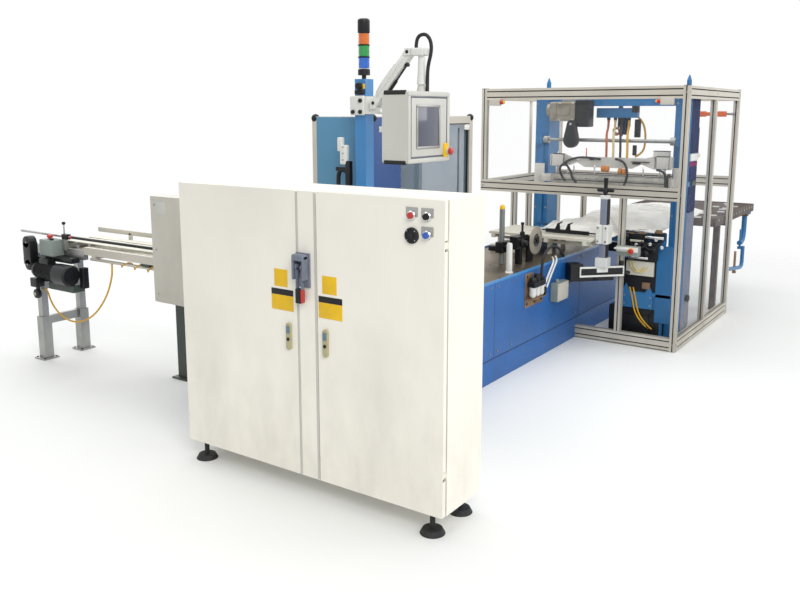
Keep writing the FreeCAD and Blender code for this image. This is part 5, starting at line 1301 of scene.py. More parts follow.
class LINE_OT_film(bpy.types.Operator):
    """The white film: drawn up over the lane, and lying on the exit table"""
    bl_idname = "line.film"
    bl_label = "Film"

    def execute(self, context):
        lane, jaw, exit_top, exit_start = 0.83, 0.85, far("exit_table", 2), 1.7

        def drawn(u, v):
            """Lift of the web along the lane, u, and across it, v, both from 0 to 1."""
            rise = 0.02 + 0.15 * u ** 1.5
            hump = 0.45 + 0.55 * math.sin(math.pi * min(1, max(0, v))) ** 0.5
            fold = noise.fractal(Vector((u * 1.6, v * 3.2, 3.1)), 0.9, 2.1, 3)
            crease = abs(noise.noise(Vector((u * 2.0 + v * 2.5, v * 5.0, 7.7))))
            return rise * hump * (1.12 - 0.85 * v) + 0.014 * fold * (0.4 + u) - 0.014 * crease * (0.3 + u)

        def passed(u, v):
            """From the jaw over the gap to the exit table, blown up between them."""
            start, end = 0.762, 2.32
            x = start + (end - start) * u
            floor = (exit_top - jaw) * min(1.0, (x - start) / (exit_start - start))
            belly = math.sin(math.pi * min(1.0, max(0.0, u)) ** 0.75) ** 0.8
            swell = 0.11 * belly * (0.35 + 0.65 * math.sin(math.pi * (1 - v) ** 1.4) ** 0.7)
            fold = noise.fractal(Vector((u * 5.0, v * 2.6, 9.4)), 0.9, 2.1, 4)
            crease = abs(noise.noise(Vector((u * 9.0 + v * 1.5, v * 3.0, 2.2))))
            return floor + swell + 0.014 * (0.5 + fold) * belly + 0.012 * crease * belly

        self.web("film_web", (0.42, -0.74, lane), (0.662, -0.05, 1.02), drawn, (80, 110), ["film_table"],
            "draped")
        self.web("film_heap", (0.762, -0.985, jaw), (2.32, -0.17, 1.02), passed, (160, 90),
            ["lower_jaw", "exit_table"], "draped")
        return {"FINISHED"}

    def web(self, name, low, high, height, steps, under, held):
        """One sheet over a rectangle, flat at its ragged edges and lifted between them."""
        columns, rows = steps
        (x0, y0, base), (x1, y1, top) = low, high
        bm = bmesh.new()
        grid = []
        for i in range(columns + 1):
            u = i / columns
            line = []
            for j in range(rows + 1):
                v = j / rows
                ragged = 0.01 * noise.noise(Vector((u * 6.0, v * 2.0, 1.0)))
                y = y0 + 0.012 + (y1 - y0 - 0.024) * v + (ragged if j in (0, rows) else 0.0)
                ease = min(1.0, 7 * min(v, 1 - v)) * min(1.0, 0.35 + 6 * u)
                lift = max(0.0, height(u, v)) * ease + 0.0012
                line.append(bm.verts.new((x0 + (x1 - x0) * u, y, min(base + lift, top))))
            grid.append(line)
        for one, two in zip(grid, grid[1:]):
            for j in range(rows):
                bm.faces.new((one[j], two[j], two[j + 1], one[j + 1]))
        bm.normal_update()
        area = sum(face.calc_area() for face in bm.faces)
        film = keep(name, bm, "stretch film", angle=3.2)
        gauge = film.modifiers.new("film_gauge", "SOLIDIFY")
        gauge.thickness = 0.0006
        gauge.offset = 1.0
        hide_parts("film_sheet")


class LINE_OT_infeed(bpy.types.Operator):
    """Motor, belt guard, stop button, lever and wrapped duct of the infeed conveyor"""
    bl_idname = "line.infeed"
    bl_label = "Infeed conveyor"

    def execute(self, context):
        self.drive()
        self.control()
        self.guides()
        self.duct()
        bolts = [(x, 2.495 + dy, 0.0115) for x in (-2.182 - 0.045, -2.182 + 0.045, -1.878 - 0.045,
            -1.878 + 0.045) for dy in (-0.045, 0.045)]
        repeated("stand_bolts", "screws", bolts, ALONG_Z, "black enamel", "steel", radius=0.008,
            height=0.005)
        return {"FINISHED"}

    def drive(self):
        """Motor with its cowl and fins, the slanted belt guard, the gear and the small wheel."""
        x, z = -2.3, 0.69
        bm = bmesh.new()
        disc_rod(bm, (x, 2.33, z), (x, 2.1, z), 0.056, 0.004, 48)
        turned(bm, [(0.058, 0), (0.071, 0.012), (0.071, 0.14), (0.06, 0.152), (0.022, 0.152), (0.02, 0.146),
            (0, 0.146)], (x, 2.1, z - 0.008), (0, -1, 0), 48)
        block(bm, (x - 0.03, 2.17, z + 0.044), (x + 0.034, 2.27, z + 0.086), 0.006, 3)
        for y, height, radius in ((2.412, 0.872, 0.044), (2.404, 0.718, 0.041)):
            disc_rod(bm, (x - 0.03, y, height), (x + 0.03, y, height), radius, 0.008, 40)
        block(bm, (x - 0.03, 2.366, 0.718), (x + 0.03, 2.452, 0.872), 0.004)
        block(bm, (x + 0.02, 2.28, 0.6), (-2.2, 2.4, 0.77), 0.012, 3)
        block(bm, (x + 0.03, 1.99, 0.752), (-2.2, 2.29, 0.792), 0.01, 3)
        block(bm, (-2.244, 1.905, 0.59), (-2.2, 1.95, 0.73), 0.006, 3)
        disc_rod(bm, (-2.29, 2.44, 0.742), (-2.29, 2.508, 0.742), 0.009, 0.003, 20)
        block(bm, (-2.336, 2.312, 0.566), (-2.27, 2.386, 0.63), 0.008, 3)
        turned(bm, [(0.02, 0), (0.032, 0.004), (0.034, 0.016), (0.032, 0.028), (0.02, 0.032)],
            (-2.3, 2.336, 0.52), (-1, 0, 0), 32)
        block(bm, (-2.318, 2.322, 0.52), (-2.3, 2.35, 0.57), 0.004)
        body = keep("infeed_motor", bm, "black enamel")
        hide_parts("infeed_drive")
        repeated("motor_fins", "rings", [(x, 2.12 + 0.014 * i, z) for i in range(14)], ALONG_Y,
            "black plastic", "black_paint", radius=0.06, height=0.004)
        piece("infeed_gear", "dark green", "black_paint",
            (block, (-2.29, 1.96, 0.56), (-2.196, 2.24, 0.612), 0.01, 3))
        bm = bmesh.new()
        turned(bm, [(0.012, 0), (0.012, 0.004), (0.008, 0.006), (0, 0.006)], (-2.332, 2.336, 0.52),
            (-1, 0, 0), 28)
        for height in (0.872, 0.718):
            disc_rod(bm, (x - 0.033, 2.408, height), (x - 0.028, 2.408, height), 0.006, 0.001, 16)
        keep("wheel_centre", bm, "ground steel")

    def control(self):
        """The control box at the end of the infeed, with a stop button on top."""
        low, high = Vector((-2.304, 2.146, 0.792)), Vector((-2.212, 2.29, 0.902))
        piece("control_case", "machine grey", "box_grey", (block, low, high, 0.006, 3),
            (block, (low[0] - 0.002, low[1] + 0.004, low[2] + 0.004),
            (low[0] + 0.002, high[1] - 0.004, high[2] - 0.004), 0.0015), stands_for="infeed_control")
        piece("control_head", "stop red", "box_grey",
            (turned, [(0.012, 0), (0.012, 0.01), (0.02, 0.014), (0.021, 0.024), (0.014, 0.032), (0, 0.033)],
            (-2.262, 2.225, high[2]), (0, 0, 1), 32))
        piece("control_knob", "black plastic", "box_grey",
            (turned, [(0.013, 0), (0.013, 0.01), (0.009, 0.014), (0, 0.014)], (-2.285, 2.172, high[2]),
            (0, 0, 1), 24))
        repeated("control_screws", "screws",
            [(low[0] - 0.003, y, z) for y in (low[1] + 0.014, high[1] - 0.014)
            for z in (low[2] + 0.014, high[2] - 0.014)], FACES_INFEED, "ground steel", "box_grey",
            radius=0.004, height=0.003)

    def guides(self):
        """The round guide rod with its lever, and the flat rail on the far side."""
        x, z = -2.222, 0.925
        piece("guide_rod", "ground steel", "steel", (disc_rod, (x, 2.09, z), (x, 2.63, z), 0.0085, 0.002,
            24), (disc_rod, (x, 2.12, z), (x, 2.12, 1.01), 0.005, 0.001, 20),
            (block, (-2.234, 2.1, 0.83), (-2.21, 2.13, z), 0.002), stands_for="infeed_guides")
        bm = bmesh.new()
        block(bm, (-1.872, 0.94, z - 0.016), (-1.858, 2.24, z + 0.016), 0.003)
        for y in (1.1, 1.87):
            block(bm, (-1.872, y, 0.866), (-1.858, y + 0.03, z), 0.002)
        keep("guide_flat", bm, "table cream")
        piece("guide_sleeve", "black plastic", "steel", (disc_rod, (x, 1.135, z), (x, 2.03, z), 0.0095,
            0.003, 24), (turned, [(0, 0), (0.009, 0.002), (0.0135, 0.011), (0.009, 0.02), (0, 0.022)],
            (x, 2.12, 1.004), (0, 0, 1), 24),
            (block, (x - 0.018, 2.07, z - 0.018), (x + 0.018, 2.13, z + 0.018), 0.006, 3))
        piece("guide_mark", "stop red", "steel", (disc_rod, (x, 2.03, z), (x, 2.052, z), 0.011, 0.003, 24))
        piece("guide_neck", "ground steel", "steel", (disc_rod, (x, 2.05, z), (x, 2.092, z), 0.008, 0.001,
            24))

    def duct(self):
        """A yellow lead wound loosely round the duct below the rails."""
        x, z = -2.186, 0.787
        turns, start, reach = 7, 0.7, 0.9
        route = []
        for step in range(turns * 8 + 1):
            a = 2 * math.pi * step / 8
            wide = 0.0165 + 0.004 * math.sin(step * 1.7)
            route.append((x + wide * math.cos(a), start + reach * step / (turns * 8),
                z - 0.004 + 1.15 * wide * math.sin(a)))
        hose("duct_lead", route, 0.004, "lead yellow", resolution=4)


MIDDLE_POSTS = [(0.515, -0.794, 0.1, 1.12), (1.26, -1.22, 0.1, 1.85), (1.068, 0.391, 0.1, 1.12),
    (1.363, 0.391, 0.1, 1.12), (2.0, 0.12, 0.0, 1.12)]


class LINE_OT_enclosure(bpy.types.Operator):
    """Interlocks, lamp bar, corner caps and bolts of the enclosure"""
    bl_idname = "line.enclosure"
    bl_label = "Enclosure"

    def execute(self, context):
        x = near("frame_posts", 0)
        bm = bmesh.new()
        for y in (0.256, -1.12):
            block(bm, (x - 0.041, y, 1.806), (x - 0.004, y + 0.092, 1.858), 0.005, 3)
        bodies = keep("interlock_bodies", bm, "side box grey")
        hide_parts("frame_switches")
        bm = bmesh.new()
        end = 2.0
        block(bm, (end - 0.03, -1.128, 1.724), (end, -0.818, 1.756), 0.006, 3)
        for y in (-1.128, -0.96):
            block(bm, (end - 0.034, y, 1.716), (end - 0.002, y + 0.07, 1.764), 0.004, 3)
        bar = keep("lamp_bar", bm, "lamp orange")
        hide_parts("frame_switches")
        piece("lamp_stay", "ground steel", "box_grey",
            (block, (end - 0.022, -1.196, 1.73), (end, -1.127, 1.75), 0.002))
        bm = bmesh.new()
        for y, step in ((0.256, -1), (-1.028, 1)):
            disc_rod(bm, (x - 0.022, y, 1.832), (x - 0.022, y + step * 0.026, 1.832), 0.016, 0.003, 24)
        keep("interlock_tips", bm, "stop red")
        bm = bmesh.new()
        for y in (0.23, -1.002):
            disc_rod(bm, (x - 0.022, y - 0.012, 1.832), (x - 0.022, y + 0.012, 1.832), 0.011, 0.003, 24)
        keep("interlock_rods", bm, "marker yellow")
        low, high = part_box("frame_posts")
        caps = [(px, py, high[2] + 0.0005) for px in (low[0] + 0.0225, high[0] - 0.0225)
            for py in (low[1] + 0.0225, high[1] - 0.0225)]
        bm = bmesh.new()
        for px, py, pz in caps:
            block(bm, (px - 0.022, py - 0.022, pz - 0.001), (px + 0.022, py + 0.022, pz + 0.003), 0.002)
        keep("frame_caps", bm, "black plastic")
        spots = []
        for z in (0.055, 1.165, 1.895):
            spots += [(x - 0.0005, low[1] + 0.0225, z), (x - 0.0005, high[1] - 0.0225, z)]
        repeated("frame_bolts_front", "screws", spots, FACES_INFEED, "ground steel", "aluminium",
            radius=0.007, height=0.004)
        spots = [(px, low[1] - 0.0005, z) for px in (low[0] + 0.0225, 1.2825, high[0] - 0.0225)
            for z in (0.055, 1.895)]
        repeated("frame_bolts_side", "screws", spots, ALONG_Y, "ground steel", "aluminium", radius=0.007,
            height=0.004)
        self.middle_posts()
        self.strips()
        return {"FINISHED"}

    def middle_posts(self):
        """The grooved posts between the corners, and the round rod of the gate."""
        bm = bmesh.new()
        wide, groove, deep = 0.045, 0.009, 0.008
        a, b, inner = (wide - groove) / 2, (wide + groove) / 2, wide - deep
        quarter = [(0, 0), (a, 0), (a, deep), (b, deep), (b, 0), (wide, 0), (wide, a), (inner, a),
            (inner, b), (wide, b), (wide, wide), (b, wide), (b, inner), (a, inner), (a, wide), (0, wide),
            (0, b), (deep, b), (deep, a), (0, a)]
        for x, y, low, high in MIDDLE_POSTS:
            prism(bm, [[(x + px, y + py, z) for px, py in quarter] for z in (low, high)])
        disc_rod(bm, (1.385, 0.4135, 1.21), (1.385, 0.4135, 1.851), 0.014, 0.002, 24)
        posts = keep("middle_posts", bm, "profile")
        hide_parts("frame_mid_posts")

    def strips(self):
        """Black strips deep in the grooves of the profiles: painted shade inside the grooves."""
        front, back, near_y, far_y = 0.515, 2.0, -1.22, 0.391
        upright = [(front, near_y, 0, 1.94), (back, near_y, 0, 1.94), (back, far_y, 0, 1.94),
            (front, far_y, 1.21, 1.94), *MIDDLE_POSTS]
        lengthwise = [(near_y, 1.85), (near_y, 0.01), (far_y, 1.85), (far_y, 1.12), (far_y, 0.01)]
        across = [(front, 1.85, 0.391), (back, 1.85, 0.391), (back, 1.12, 0.391), (front, 1.12, 0.436),
            (front, 0.01, -0.434)]
        wide, half, deep, thin = 0.045, 0.0044, 0.005, 0.0006
        middle = wide / 2
        bm = bmesh.new()
        for x, y, low, high in upright:
            for inner in (deep, wide - deep):
                block(bm, (x + middle - half, y + inner - thin, low + 0.002),
                    (x + middle + half, y + inner + thin, high - 0.002))
                block(bm, (x + inner - thin, y + middle - half, low + 0.002),
                    (x + inner + thin, y + middle + half, high - 0.002))
        for y, z in lengthwise:
            for inner in (deep, wide - deep):
                for step in (middle, 3 * middle):
                    block(bm, (front + wide, y + inner - thin, z + step - half),
                        (back, y + inner + thin, z + step + half))
            block(bm, (front + wide, y + middle - half, z + 2 * wide - deep - thin),
                (back, y + middle + half, z + 2 * wide - deep + thin))
        for x, z, end in across:
            for inner in (deep, wide - deep):
                for step in (middle, 3 * middle):
                    block(bm, (x + inner - thin, near_y + wide, z + step - half),
                        (x + inner + thin, end, z + step + half))
        keep("profile_groove_shade", bm, "black rubber and painted shade")


class LINE_OT_portal(bpy.types.Operator):
    """Drive, belt guard, hose bracket and bolts of the portal"""
    bl_idname = "line.portal"
    bl_label = "Portal"

    def execute(self, context):
        self.drive()
        self.guard()
        self.bracket()
        self.balance()
        self.covers()
        front = 0.8
        spots = [(front - 0.001, y, z) for y in (-1.15, -1.06, -0.02, 0.07)
            for z in (1.82, 1.855, 0.72, 0.98, 1.56)]
        repeated("portal_bolts", "screws", spots, FACES_INFEED, "ground steel", "portal_paint",
            radius=0.008, height=0.005)
        return {"FINISHED"}

    def drive(self):
        """Worm gear with its ribbed case, and the black servo block beside it."""
        low, high = Vector((0.71, -0.4, 1.64)), Vector((0.84, -0.035, 1.85))
        x0, x1 = low[0], high[0]
        middle, gear_low, gear_high = (x0 + x1) / 2, -0.285, -0.07
        bm = bmesh.new()
        block(bm, (x0 + 0.004, gear_low, 1.684), (x1 - 0.002, gear_high, 1.836), 0.012, 4)
        for z in (1.7, 1.73, 1.79, 1.815):
            block(bm, (x0, gear_low + 0.01, z), (x0 + 0.008, gear_high - 0.07, z + 0.01), 0.002)
        block(bm, (x0 - 0.002, gear_high - 0.06, 1.7), (x0 + 0.006, gear_high - 0.004, 1.826), 0.004, 3)
        block(bm, (x0 + 0.02, gear_low + 0.03, 1.834), (x1 - 0.02, gear_low + 0.12, 1.848), 0.006, 3)
        turned(bm, [(0.064, 0), (0.06, 0.01), (0.052, 0.014), (0.05, 0.034)], (middle, gear_high, 1.77),
            (0, 1, 0), 40)
        turned(bm, [(0.034, 0), (0.036, 0.004), (0.034, 0.01), (0.02, 0.012), (0, 0.012)],
            (x0 + 0.004, gear_low + 0.07, 1.766), (-1, 0, 0), 32)
        gear = keep("lift_gear", bm, "gear grey")
        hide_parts("portal_drive")
        spots = [(x0 - 0.001, y, z) for y in (gear_low + 0.016, gear_low + 0.124) for z in (1.694, 1.826)]
        repeated("lift_gear_bolts", "screws", spots, FACES_INFEED, "chrome", "motor_grey", radius=0.007,
            height=0.005)
        bm = bmesh.new()
        block(bm, (x0 + 0.002, low[1], low[2]), (x0 + 0.118, gear_low + 0.001, high[2] - 0.002), 0.012, 4)
        for step in range(6):
            z = low[2] + 0.022 + 0.03 * step
            block(bm, (x0 - 0.003, low[1] + 0.01, z), (x0 + 0.004, gear_low - 0.01, z + 0.014), 0.002)
        block(bm, (x0 + 0.02, low[1] - 0.006, 1.7), (x0 + 0.09, low[1] + 0.004, 1.78), 0.005, 3)
        keep("lift_servo", bm, "black plastic")

    def guard(self):
        """The drop shaped guard over the belt from the gear to the line shaft."""
        x, y, top, drop = 0.66, -0.276, 1.694, 1.478
        wide, slim = 0.06, 0.034
        centre_low, centre_high = drop + wide, top - slim
        lean = math.asin((wide - slim) / (centre_high - centre_low))
        ring = []
        for centre, radius, start, sweep in ((centre_low, wide, math.pi - lean, math.pi + 2 * lean),
                (centre_high, slim, lean, math.pi - 2 * lean)):
            for i in range(24):
                a = start + sweep * i / 23
                ring.append((y + radius * math.cos(a), centre + radius * math.sin(a)))
        bm = bmesh.new()
        faces = []
        for depth, inset in ((0.0, 0.86), (0.006, 1.0), (0.046, 1.0)):
            faces.append([bm.verts.new((x + depth - 0.001, y + (py - y) * inset,
                centre_low + (pz - centre_low) * inset)) for py, pz in ring])
        for one, two in zip(faces, faces[1:]):
            for i in range(48):
                j = (i + 1) % 48
                bm.faces.new((one[i], one[j], two[j], two[i]))
        bm.faces.new(faces[0])
        bm.faces.new(faces[-1][::-1])
        drop_guard = keep("belt_guard_shell", bm, "black plastic", angle=0.8)
        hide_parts("portal_belt_guard")
        piece("belt_guard_hole", "panel grey", "black_plastic", (disc_rod, (x - 0.0022, y, top - 0.03),
            (x + 0.001, y, top - 0.03), 0.009, 0.001, 24))

    def balance(self):
        """The dark balance cylinder behind the right column, with its coloured band."""
        x, y = 1.034, -1.14
        piece("balance_sleeve", "navy enamel and painted shade", "portal_paint",
            (turned, [(0, 0), (0.01, 0.001), (0.0246, 0.006), (0.0246, 0.246), (0.01, 0.252), (0, 0.253)],
            (x, y, 1.392), (0, 0, 1), 36), (block, (1.0, -1.155, 1.5), (1.03, -1.125, 1.53), 0.002))
        piece("balance_band", "band purple", "portal_paint",
            (turned, [(0.0246, 0), (0.0251, 0.001), (0.0251, 0.04), (0.0246, 0.041)], (x, y, 1.452),
            (0, 0, 1), 36))

    def covers(self):
        """Navy sheets of painted shade on the outer side of the right column, a lighter grey-blue sheet of
        painted shade at its foot, fittings and the coloured band.
        """
        face, x0, x1 = -1.165, 0.803, 0.997
        # Navy sheets paint the shade on the column's outer side, and the grey foot sheet paints the lighter
        # shade lower down; the band is the column's purple band.
        for name, low, high, finish in (("high", 1.452, 1.86, "navy enamel and painted shade"),
                ("middle", 1.242, 1.352, "navy enamel and painted shade"), ("band", 1.354, 1.391, "band purple"),
                ("low", 1.008, 1.204, "navy enamel and painted shade"), ("foot", 0.1, 1.004, "column foot painted shade")):
            piece(f"column_painted_shade_{name}", finish, "portal_paint",
                (block, (x0, face - 0.006, low), (x1, face, high), 0.002))
        piece("column_fitting", "white enamel", "portal_paint", (block, (x0 + 0.01, face - 0.012, 1.395),
            (x1, face, 1.448), 0.004, 3), (disc_rod, (0.985, face - 0.006, 1.432),
            (0.985, face - 0.026, 1.432), 0.015, 0.003, 24))
        piece("column_knobs", "black plastic", "portal_paint", (block, (x0 + 0.06, face - 0.014, 1.207),
            (x1 - 0.02, face, 1.24), 0.004, 3), (disc_rod, (0.89, face - 0.006, 0.341),
            (0.89, face - 0.034, 0.341), 0.026, 0.004, 28))

    def bracket(self):
        """The blue bracket that carries the hoses, with their glands."""
        piece("hose_carrier", "portal blue", "portal_paint",
            (block, (0.868, -0.73, 1.7115), (0.932, -0.404, 1.787), 0.003))
        bm = bmesh.new()
        for number in range(4):
            y = -0.66 + 0.055 * number
            turned(bm, [(0.014, 0), (0.014, 0.016), (0.0105, 0.02), (0.0105, 0.034)], (0.9, y, 1.714),
                (0, 0, -1), 20)
        block(bm, (0.862, -0.74, 1.752), (0.905, -0.69, 1.806), 0.006, 3)
        block(bm, (0.912, -0.745, 1.56), (0.94, -0.7, 1.7), 0.006, 3)
        block(bm, (0.918, -0.72, 1.42), (0.94, -0.69, 1.5), 0.006, 3)
        keep("hose_glands", bm, "black plastic")
        piece("valve_island", "navy enamel and painted shade", "portal_paint",
            (block, (0.914, -0.64, 1.58), (0.95, -0.58, 1.664), 0.006, 3),
            (block, (0.922, -0.66, 1.64), (0.94, -0.56, 1.712), 0.004, 3))
        coil = [(0.914 + 0.001 * i, -0.552 + 0.026 * math.cos(0.785 * i),
            1.605 + 0.03 * math.sin(0.785 * i)) for i in range(17)]
        hose("valve_coil", [(0.93, -0.6, 1.66), *coil, (0.936, -0.6, 1.572)], 0.006, "hose orange")
        hose("balance_hose", [(0.93, -0.716, 1.72), (0.934, -0.752, 1.69), (0.936, -0.78, 1.62),
            (0.934, -0.786, 1.52), (0.93, -0.77, 1.44), (0.926, -0.712, 1.41)], 0.008, "lead yellow")


class LINE_OT_head(bpy.types.Operator):
    """Hoses, guide rods, rollers and the heated edge of the sealing head"""
    bl_idname = "line.head"
    bl_label = "Sealing head"

    def execute(self, context):
        body, x = "sealing_head", 0.69
        self.yoke(body, x)
        arcs = (((-0.235, 1.215), (-0.165, 1.3), (-0.24, 1.372), (-0.33, 1.405), (-0.42, 1.408),
            (-0.52, 1.395)), ((-0.235, 1.35), (-0.285, 1.3), (-0.292, 1.24), (-0.33, 1.206)),
            ((-0.64, 1.402), (-0.7, 1.392), (-0.735, 1.34), (-0.745, 1.27), (-0.715, 1.2)),
            ((-0.96, 1.33), (-1.02, 1.322), (-1.036, 1.27), (-1.03, 1.205)))
        for number, arc in enumerate(arcs):
            hose(f"head_loop_{number}", [(x - 0.01 + (0.012 if end in (0, len(arc) - 1) else 0.0), y, z)
                for end, (y, z) in enumerate(arc)], 0.009, "black rubber and painted shade", body)
        piece("head_marks", "lamp orange", "steel",
            (disc_rod, (x + 0.034, -0.391, 1.36), (x + 0.034, -0.391, 1.478), 0.0045, 0.001, 16), body=body)
        bm = bmesh.new()
        for y, z in ((-0.555, 1.322), (-0.585, 1.32), (-0.69, 1.308), (-0.724, 1.304)):
            turned(bm, [(0.006, 0), (0.022, 0.002), (0.024, 0.008), (0.024, 0.022), (0.022, 0.028),
                (0.006, 0.03)], (x + 0.018, y, z), (0, 1, 0), 32)
        keep("head_rollers", bm, "amber rubber", body)
        bm = bmesh.new()
        for y in (-0.98, -0.855, -0.47, -0.3, -0.25, -0.15):
            disc_rod(bm, (x + 0.014, y, 1.268), (x + 0.014, y, 1.345), 0.006, 0.001, 20)
            turned(bm, [(0.01, 0), (0.01, 0.008), (0.006, 0.008)], (x + 0.014, y, 1.266), (0, 0, 1), 6)
        for y in (-1.01, -0.16):
            turned(bm, [(0.013, 0), (0.013, 0.014), (0.009, 0.018), (0, 0.018)], (x + 0.03, y, 1.425),
                (0, 0, 1), 24)
        keep("head_pins", bm, "chrome", body)
        piece("head_beam_face", "beam silver", "steel",
            (block, (x - 0.001, -1.046, 1.196), (x + 0.02, -0.12, 1.262), 0.003),
            (block, (x - 0.004, -1.03, 1.232), (x + 0.004, -0.14, 1.252), 0.003),
            (block, (x - 0.004, -0.93, 1.2), (x + 0.004, -0.64, 1.216), 0.002), body=body)
        bm = bmesh.new()
        block(bm, (x + 0.002, -1.05, 1.264), (x + 0.052, -0.12, 1.274), 0.002)
        block(bm, (x - 0.0045, -1.04, 1.222), (x + 0.002, -0.13, 1.2275), 0.001)
        block(bm, (x - 0.004, -1.053, 1.195), (x + 0.05, -1.04, 1.3), 0.003)
        for low_y, high_y, z in ((-1.047, -0.955, 1.4255), (-0.215, -0.125, 1.4255), (-0.9, -0.76, 1.38)):
            block(bm, (x - 0.001, low_y, z), (x + 0.03, high_y, z + 0.006), 0.002)
        block(bm, (x + 0.002, -1.044, 1.466), (x + 0.058, -0.926, 1.4705), 0.002)
        for y in (-1.0505, -0.9465, -0.217, -0.1135):
            block(bm, (x - 0.001, y - 0.002, 1.338), (x + 0.004, y + 0.002, 1.424))
        keep("head_seams", bm, "black rubber and painted shade", body)
        piece("head_clips", "black enamel", "black_paint",
            (block, (x + 0.002, -0.46, 1.385), (x + 0.028, -0.43, 1.405), 0.004, 3),
            (block, (x + 0.002, -0.83, 1.365), (x + 0.028, -0.77, 1.378), 0.004, 3),
            (block, (x - 0.004, -0.905, 1.186), (x + 0.006, -0.88, 1.202), 0.003),
            (block, (x - 0.004, -0.7, 1.186), (x + 0.006, -0.67, 1.202), 0.003), body=body)
        spots = [(x - 0.002, y, 1.242) for y in (-1.02 + 0.087 * i for i in range(11))]
        repeated("head_bolts", "screws", spots, FACES_INFEED, "black enamel", "steel", body, radius=0.006,
            height=0.004)
        return {"FINISHED"}

    def yoke(self, body, x):
        """The winged plate, its end blocks, the links to the carriages and the heated bar."""
        low, high, base, top = -1.057, -0.11, 1.33, 1.43
        middle, tall = (low + high) / 2, top - base
        outline = [(low, 0), (low + 0.13, 0), (low + 0.222, 0.035), (middle - 0.18, 0), (middle + 0.2, 0),
            (high - 0.21, 0.035), (high - 0.12, 0), (high, 0), (high, tall), (high - 0.1, tall),
            (high - 0.21, 0.055), (middle + 0.18, 0.081), (low + 0.19, 0.081), (low + 0.12, tall),
            (low, tall)]
        bm = bmesh.new()
        prism(bm, [[(px, y, base + z) for y, z in outline] for px in (x + 0.022, x + 0.038)])
        for y in (low - 0.01, high - 0.1):
            block(bm, (x, y, base + 0.005), (x + 0.06, y + 0.11, top - 0.005), 0.004, 3)
            disc_rod(bm, (x + 0.03, y + 0.055, 1.204), (x + 0.03, y + 0.055, base + 0.01), 0.009, 0.001, 24)
        block(bm, (x + 0.005, low + 0.014, top - 0.006), (x + 0.055, low + 0.129, top + 0.038), 0.004, 3)
        for y in (-1.105, 0.025):
            block(bm, (x + 0.06, y - 0.04, 1.184), (x + 0.0897, y + 0.04, 1.344), 0.003)
        for y, reach in ((low - 0.018, 0.03), (high - 0.01, 0.115)):
            block(bm, (x + 0.04, y, 1.204), (x + 0.08, y + reach, 1.264), 0.003)
        plate = keep("head_yoke", bm, "silver plate", body)
        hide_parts("sealing_head")
        section = [(0.004, 0), (0.036, 0), (0.06, 0.024), (0.06, 0.088), (0, 0.088), (0, 0.024)]
        bm = bmesh.new()
        prism(bm, [[(x + px, y, 1.184 + z) for px, z in section] for y in (low, high)])
        keep("head_bar", bm, "beam silver", body)


